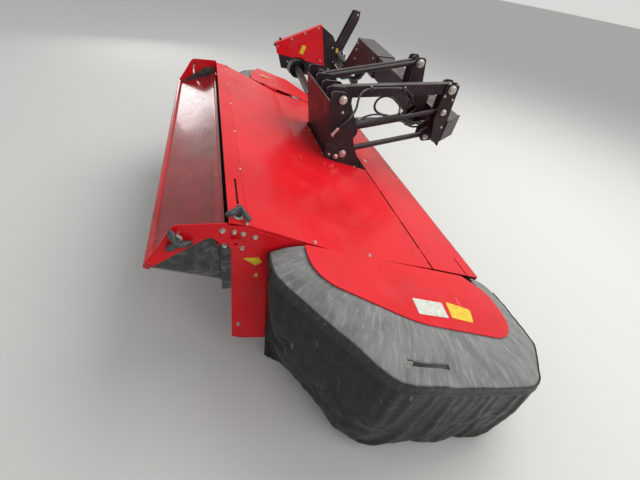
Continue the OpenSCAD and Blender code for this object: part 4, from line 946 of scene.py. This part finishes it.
# Stiffening plates on the walls, each with a flat corner that laps onto the deck
wallPlate = {"x": (1.1685, 1.1725), "cornerX": (1.125, 1.1695), "cornerY": (-.8985, -.830),
             "cornerZ": (.9545, .9575),
             "outline": [(-.899, .970, .004), (-.899, .900, .006), (-.818, .892, .02), (-.738, .828, .01),
                         (-.700, .836, .03), (-.640, .870, .01), (-.823, .951, .01)]}
for side, name in ((1, "wallPlateNear"), (-1, "wallPlateFar")):
    flat = plateShape(closedOutline(wallPlate["outline"]), 0, *sideSpan(side, wallPlate["x"]))
    makePiece(name, [flat], "boom", redEnamel, bevel=.0015)
    corner = boxShape(*zip(sideSpan(side, wallPlate["cornerX"]), wallPlate["cornerY"],
                           wallPlate["cornerZ"]))
    makePiece(name + "Corner", [corner], "boom", redEnamel)
print("hood and walls dressed")


# Hexagon bolt: washer, six-sided head with a chamfer, both as (height, radius) profiles turned about the axis
def boltShapes(place, axis, across):
    radius = across / math.sqrt(3)
    thick = across * 0.12
    rim = radius * 1.25
    ring = [(0, 0), (0, rim), (thick * 0.8, rim), (thick, rim * 0.95), (thick, 0)]
    head = [(thick, radius), (thick + across * 0.40, radius), (thick + across * 0.50, radius * 0.86),
            (thick + across * 0.50, 0)]
    return [latheShape(ring, place, axis, 20), latheShape(head, place, axis, 6, turn=place[0] * 9)]


# Domed rivet: radius follows a quarter circle of the height
def rivetShapes(place, axis, radius):
    t = np.linspace(0, math.pi / 2, 6)
    return [latheShape(np.stack([radius * 0.55 * np.sin(t), radius * np.cos(t)], axis=1), place, axis, 14)]


# Pin head: a thick disc with a chamfer, a locking collar under it and a greaser in its middle
def pinShapes(place, axis, radius):
    disc = [(-.002, radius * 1.35), (.004, radius * 1.35), (.005, radius * 1.28), (.005, radius),
            (.014, radius), (.017, radius * 0.88), (.017, 0)]
    greaser = [(.017, .006), (.020, .006), (.020, .0035), (.026, .003), (.028, .0042), (.031, .003),
               (.031, 0)]
    return [latheShape(disc, place, axis, 28), latheShape(greaser, place, axis, 10)]


# Hand knob: outline radius(t) = arm * (hub + (1 - hub) * |cos(1.5 t)|^3.5), three arms that droop by the
# square of their reach; both profiles are (height, radius), the arms' one as a share of the outline
knob = {"arm": 0.060, "steps": 90, "hub": 0.20, "droop": 3.2, "washer": 0.021,
        "stem": [(.003, .011), (.010, .011), (.017, .015), (.030, .013), (.030, 0)],
        "profile": [(.016, .10), (.018, .80), (.021, .97), (.027, 1.0), (.031, .94), (.036, .72),
                    (.043, .40), (.048, .20), (.049, 0)]}


def knobShapes(place, axis, turn):
    axis, first, second = acrossAxis(axis)
    t = np.linspace(0, 2 * math.pi, knob["steps"], endpoint=False)
    reach = knob["hub"] + (1 - knob["hub"]) * np.abs(np.cos(1.5 * t)) ** 3.5
    profile = np.array(knob["profile"])
    far = knob["arm"] * profile[:, 1, None] * reach[None, :]
    height = profile[:, 0, None] - knob["droop"] * far ** 2
    ring = (np.cos(t + turn)[:, None] * first + np.sin(t + turn)[:, None] * second)[None]
    star = gridShape(np.asarray(place) + height[..., None] * axis + far[..., None] * ring, wrapColumns=True)
    return [star, latheShape(knob["stem"], place, axis, 20)]


def washerShape(place, axis, radius, thick=0.003):
    ring = [(0, 0), (0, radius), (thick, radius * 0.96), (thick, 0)]
    return latheShape(ring, place, axis, 28)


# Ring of six bolts about the rotor's axis on each wall, in y and z
rotorBolts = [(-.5 + .052 * math.cos(k * math.pi / 3), .45 + .052 * math.sin(k * math.pi / 3))
             for k in range(6)]
# Bolts of one wall, by how far out they sit: (x, width across flats, places in y and z)
wallRows = (
    (1.169, .015, [(-.848, .847), (-.560, .800), (-.330, .710), (-.860, .330), (-.700, .250),
                   (.060, .560)]),
    (1.1727, .015, [(-.880, .937), (-.844, .925), (-.795, .906)]),
    (1.1715, .015, [(-.918, .866)]),
    (1.183, .013, rotorBolts),
)
# Fasteners by piece: each group is (axis, size, places) in metres; the size is a bolt's width across flats, a
# rivet's or a pin's radius
fasteners = {
    "deckRivets": {"body": "boom", "shapes": rivetShapes, "groups": [
        ((0, .30, .95), .0065, [(x, -.826, .9655) for x in (.711, .261, -.199, -.650, -1.04)])]},
    "deckBolts": {"body": "boom", "shapes": boltShapes, "groups": [
        ((0, .35, .93), .012, [(1.161, -.829, .9650)]),
        ((0, .35, .93), .013, [(-1.155, -.815, .9625)]),
        ((0, .37, .93), .012, [(x, -.526, .8425) for x in (1.150, -1.150)]),
        ((0, .30, .95), .012, [(x, -.232, .7415) for x in (1.150, -1.150)]),
        ((0, .30, .95), .012, [(x, -.186, .7275) for x in (-.592, -.394, -.156, .030)])]},
    "wallBolts": {"body": "boom", "shapes": boltShapes, "groups": [
        ((side, 0, 0), size, [(side * x, y, z) for y, z in places])
        for side in (1, -1) for x, size, places in wallRows]},
    "hoodBolts": {"body": "hood", "shapes": boltShapes, "groups": [
        ((side, 0, 0), .016, [(side * 1.1890, -.925, .958)]) for side in (1, -1)]},
    "towerPins": {"body": "boom", "shapes": pinShapes, "groups": [
        ((1, 0, 0), .021, [(.1015, -.130, 1.145), (.1015, -.060, .770)]),
        ((-1, 0, 0), .021, [(-.5795, -.130, 1.145), (-.5795, -.060, .770)]),
        ((1, 0, 0), .024, [(-.0255, .740, 1.240), (-.3785, .625, 1.320)]),
        ((-1, 0, 0), .020, [(-.1245, .740, 1.240), (-.5215, .625, 1.320)]),
        ((1, 0, 0), .018, [(-.0255, .735, 1.075), (-.1495, .740, .828)])]},
    "towerBolts": {"body": "boom", "shapes": boltShapes, "groups": [
        ((1, 0, 0), .026, [(.0985, -.106, .745)]), ((1, 0, 0), .014, [(.0985, -.158, .760)]),
        ((1, 0, 0), .018, [(.0905, .060, .655)]), ((1, 0, 0), .013, [(.0905, -.113, 1.060)]),
        ((-1, 0, 0), .024, [(-.5705, -.103, .700)]), ((-1, 0, 0), .018, [(-.5705, .060, .655)])]},
    "bracketBolts": {"body": "boom", "shapes": boltShapes, "groups": [
        ((1, 0, 0), .014, [(-.0305, y, z) for y, z in (
            (.705, 1.280), (.770, 1.280), (.700, 1.190), (.775, 1.170), (.770, .960))])]},
    "boomBolts": {"body": "boom", "shapes": boltShapes, "groups": [
        ((0, -1, 0), .019, [(x, .7885, z - .0664 * (x + 2.1))
                            for x in (-2.22, -1.66) for z in (.93, 1.03, 1.10)])]},
    "headBolts": {"body": "headstock", "shapes": boltShapes, "groups": [
        ((1, 0, 0), .016, [(-3.0, y, z) for y, z in (
            (-.060, .820), (.120, .930), (.300, 1.015), (.480, 1.095), (.560, .700))]),
        ((1, 0, 0), .018, [(-3.0035, y, z) for y, z in (
            (.720, .880), (.760, .700), (.700, .600), (.090, .640))]),
        ((0, -1, 0), .022, [(x, .7615, z) for x in (-2.86, -2.79) for z in (.600, .690)])]},
    "forkPins": {"body": "headstock", "shapes": pinShapes, "groups": [
        ((0, -1, 0), .034, [(-2.730, .7620, .655)]), ((0, 1, 0), .034, [(-2.730, 1.0280, .655)]),
        ((0, -1, 0), .022, [(-3.250, .8180, .775)]), ((0, 1, 0), .022, [(-3.250, .9720, .775)])]},
}


def fitFasteners():
    for name, entry in fasteners.items():
        shapes = []
        for axis, size, places in entry["groups"]:
            for place in places:
                shapes += entry["shapes"](place, axis, size)
        makePiece(name, shapes, entry["body"], zincSteel, crease=30)


fitFasteners()

# Trim: the tower's foot gusset and hose clamps on the arm, and on the headstock two knobs and a blank sticker
trim = {
    "gusset": [(-.190, .848, .008), (.018, .716, .012), (.018, .668, .004), (-.190, .729, .004)],
    "gussetX": (.0905, .0985),
    "clamps": [(-.036, .360, 1.211), (-.036, .108, 1.193)], "clampHalf": (.0115, .013, .0125),
    "grip": [(0, .008), (.008, .008), (.010, .017), (.020, .018), (.024, .014), (.024, 0)],
    "coverKnobs": [(-2.9995, -.038, .915), (-2.9995, -.104, .840)],
    "sticker": [(-2.9995, .772, .832), (-2.9995, .802, .826), (-2.9995, .806, .880), (-2.9995, .776, .886)],
}


def fitTrim():
    gusset = plateShape(closedOutline(trim["gusset"]), 0, *trim["gussetX"])
    makePiece("footGusset", [gusset], "boom", anthracitePaint, bevel=.0012)
    blocks, bolts = [], []
    half = np.array(trim["clampHalf"])
    for place in np.array(trim["clamps"]):
        blocks.append(boxShape(place - half, place + half))
        bolts += boltShapes(place + (0, 0, half[2]), (0, 0, 1), .011)
    makePiece("hoseClamps", blocks, "boom", blackPlastic, bevel=.002)
    makePiece("clampBolts", bolts, "boom", zincSteel, crease=30)
    turned = [latheShape(trim["grip"], place, (1, 0, 0), 24) for place in trim["coverKnobs"]]
    makePiece("coverKnobs", turned, "headstock", blackPlastic, crease=40)
    makePiece("mastSticker", [panelShape(trim["sticker"], .004, .0015)], "headstock", yellowVinyl)


fitTrim()

# Hand knobs with their white washers: one on the deck's slot, one on each end plate of the hood
knobs = (
    {"name": "deckKnob", "body": "boom", "place": (1.121, -.862, .9745), "axis": (0, .22, .97),
     "turn": 1.45},
    {"name": "hoodKnobNear", "body": "hood", "place": (1.1890, -1.094, .922), "axis": (1, 0, 0),
     "turn": 2.95},
    {"name": "hoodKnobFar", "body": "hood", "place": (-1.1890, -1.094, .922), "axis": (-1, 0, 0),
     "turn": 0.6},
)
for entry in knobs:
    name, body, place, axis = (entry[key] for key in ("name", "body", "place", "axis"))
    makePiece(name, knobShapes(place, axis, entry["turn"]), body, knobNylon, crease=50)
    makePiece(name + "Washer", [washerShape(place, axis, knob["washer"])], body, whiteVinyl)
print("fasteners fitted")

# Plain stickers, a blank plate and the reflectors, each by its corners on the face that carries it
blanks = {
    "guardPlate": {"body": "guard", "finish": whiteVinyl, "thick": 0.002, "radius": 0.006, "corners": [
        (1.422, -.122, .7271), (1.512, -.132, .7301), (1.517, .036, .6791), (1.427, .049, .6751)]},
    "guardSticker": {"body": "guard", "finish": yellowVinyl, "thick": 0.0006, "radius": 0.012, "corners": [
        (1.415, .085, .6642), (1.512, .060, .6718), (1.528, .185, .6338), (1.447, .225, .6216)]},
    "wallSticker": {"body": "boom", "finish": yellowVinyl, "thick": 0.0006, "radius": 0.004, "corners": [
        (1.169, -.845, .787), (1.169, -.790, .740), (1.169, -.760, .757), (1.169, -.778, .787)]},
    "wallScrap": {"body": "boom", "finish": yellowVinyl, "thick": 0.0006, "radius": 0.003, "corners": [
        (1.169, -.796, .668), (1.169, -.776, .668), (1.169, -.778, .690), (1.169, -.790, .688)]},
    "coverSticker": {"body": "headstock", "finish": yellowVinyl, "thick": 0.0006, "radius": 0.006,
                     "corners": [
        (-3.0, .245, .765), (-3.0, .300, .752), (-3.0, .335, .862), (-3.0, .280, .870)]},
    "flapSticker": {"body": "front_flap", "finish": orangeLens, "thick": 0.004, "radius": 0.012,
                    "corners": [
        (-.120, .215, .6193), (-.078, .215, .6193), (-.078, .290, .5907), (-.120, .290, .5907)]},
    "farReflector": {"body": "boom", "finish": orangeLens, "thick": 0.006, "radius": 0.017, "corners": [
        (-1.475, -.475, .8345), (-1.425, -.475, .8345), (-1.425, -.395, .8100), (-1.475, -.395, .8100)]},
}
for name, entry in blanks.items():
    panel = panelShape(entry["corners"], entry["radius"], entry["thick"])
    makePiece(name, [panel], entry["body"], entry["finish"], crease=40)
print("stickers laid")

# Floor and light
stage = {
    "floor": "#cfccc6", "backdrop": "#d9d9d6", "size": 400.0, "sky": 0.66, "skyColour": "#eef2f8",
    "lamps": {
        "softPanel": {"power": 325.0, "size": 5.0, "place": (-1.0, 3.0, 5.8), "target": (-0.5, 0.2, 0.4)},
        "fillPanel": {"power": 90.0, "size": 4.0, "place": (4.5, 2.5, 3.5), "target": (-0.5, 0.0, 0.4)},
        "sheenPanel": {"power": 26.0, "size": 1.5, "place": (-6.2, -2.25, 1.85),
                       "target": (-0.7, -1.05, 0.84)},
    },
}


# A matrix at place whose -Z looks at the target
def aimedAt(place, target):
    back = unitRows(np.subtract(place, target))
    right = unitRows(np.cross((0, 0, 1), back))
    turned = Matrix((right.tolist(), np.cross(back, right).tolist(), back.tolist())).transposed().to_4x4()
    return Matrix.Translation(place) @ turned


def setStage(look):
    material = bpy.data.materials.new("paleFloor")
    material.use_nodes = True
    tree = material.node_tree
    shader = tree.nodes["Principled BSDF"]
    shader.inputs["Base Color"].default_value = linearColour(look["floor"])
    shader.inputs["Roughness"].default_value = 0.9
    half = look["size"] / 2
    mesh = bpy.data.meshes.new("floor")
    corners = [(-half, -half, 0), (half, -half, 0), (half, half, 0), (-half, half, 0)]
    mesh.from_pydata(corners, [], [(0, 1, 2, 3)])
    mesh.materials.append(material)
    floor = bpy.data.objects.new("floor", mesh)
    scene.collection.objects.link(floor)

    world = bpy.data.worlds.new("world")
    world.use_nodes = True
    scene.world = world
    tree = world.node_tree
    ray = addNode(tree, "LightPath")
    seen = ray.outputs["Is Camera Ray"]
    for kind in ("Is Glossy Ray", "Is Transmission Ray"):
        seen = addNode(tree, "Math", {0: seen, 1: ray.outputs[kind]}, operation="MAXIMUM").outputs[0]
    sky = tree.nodes["Background"]
    sky.inputs["Color"].default_value = linearColour(look["skyColour"])
    sky.inputs["Strength"].default_value = look["sky"]
    backdrop = addNode(tree, "Background", {"Color": linearColour(look["backdrop"]), "Strength": 1.0})
    mixed = addNode(tree, "MixShader", {0: seen, 1: sky.outputs[0], 2: backdrop.outputs[0]})
    tree.links.new(mixed.outputs[0], tree.nodes["World Output"].inputs["Surface"])

    for name, entry in look["lamps"].items():
        lamp = bpy.data.objects.new(name, bpy.data.lights.new(name, "AREA"))
        lamp.data.energy = entry["power"]
        lamp.data.size = entry["size"]
        lamp.matrix_world = aimedAt(entry["place"], entry["target"])
        scene.collection.objects.link(lamp)


setStage(stage)
print("stage set")
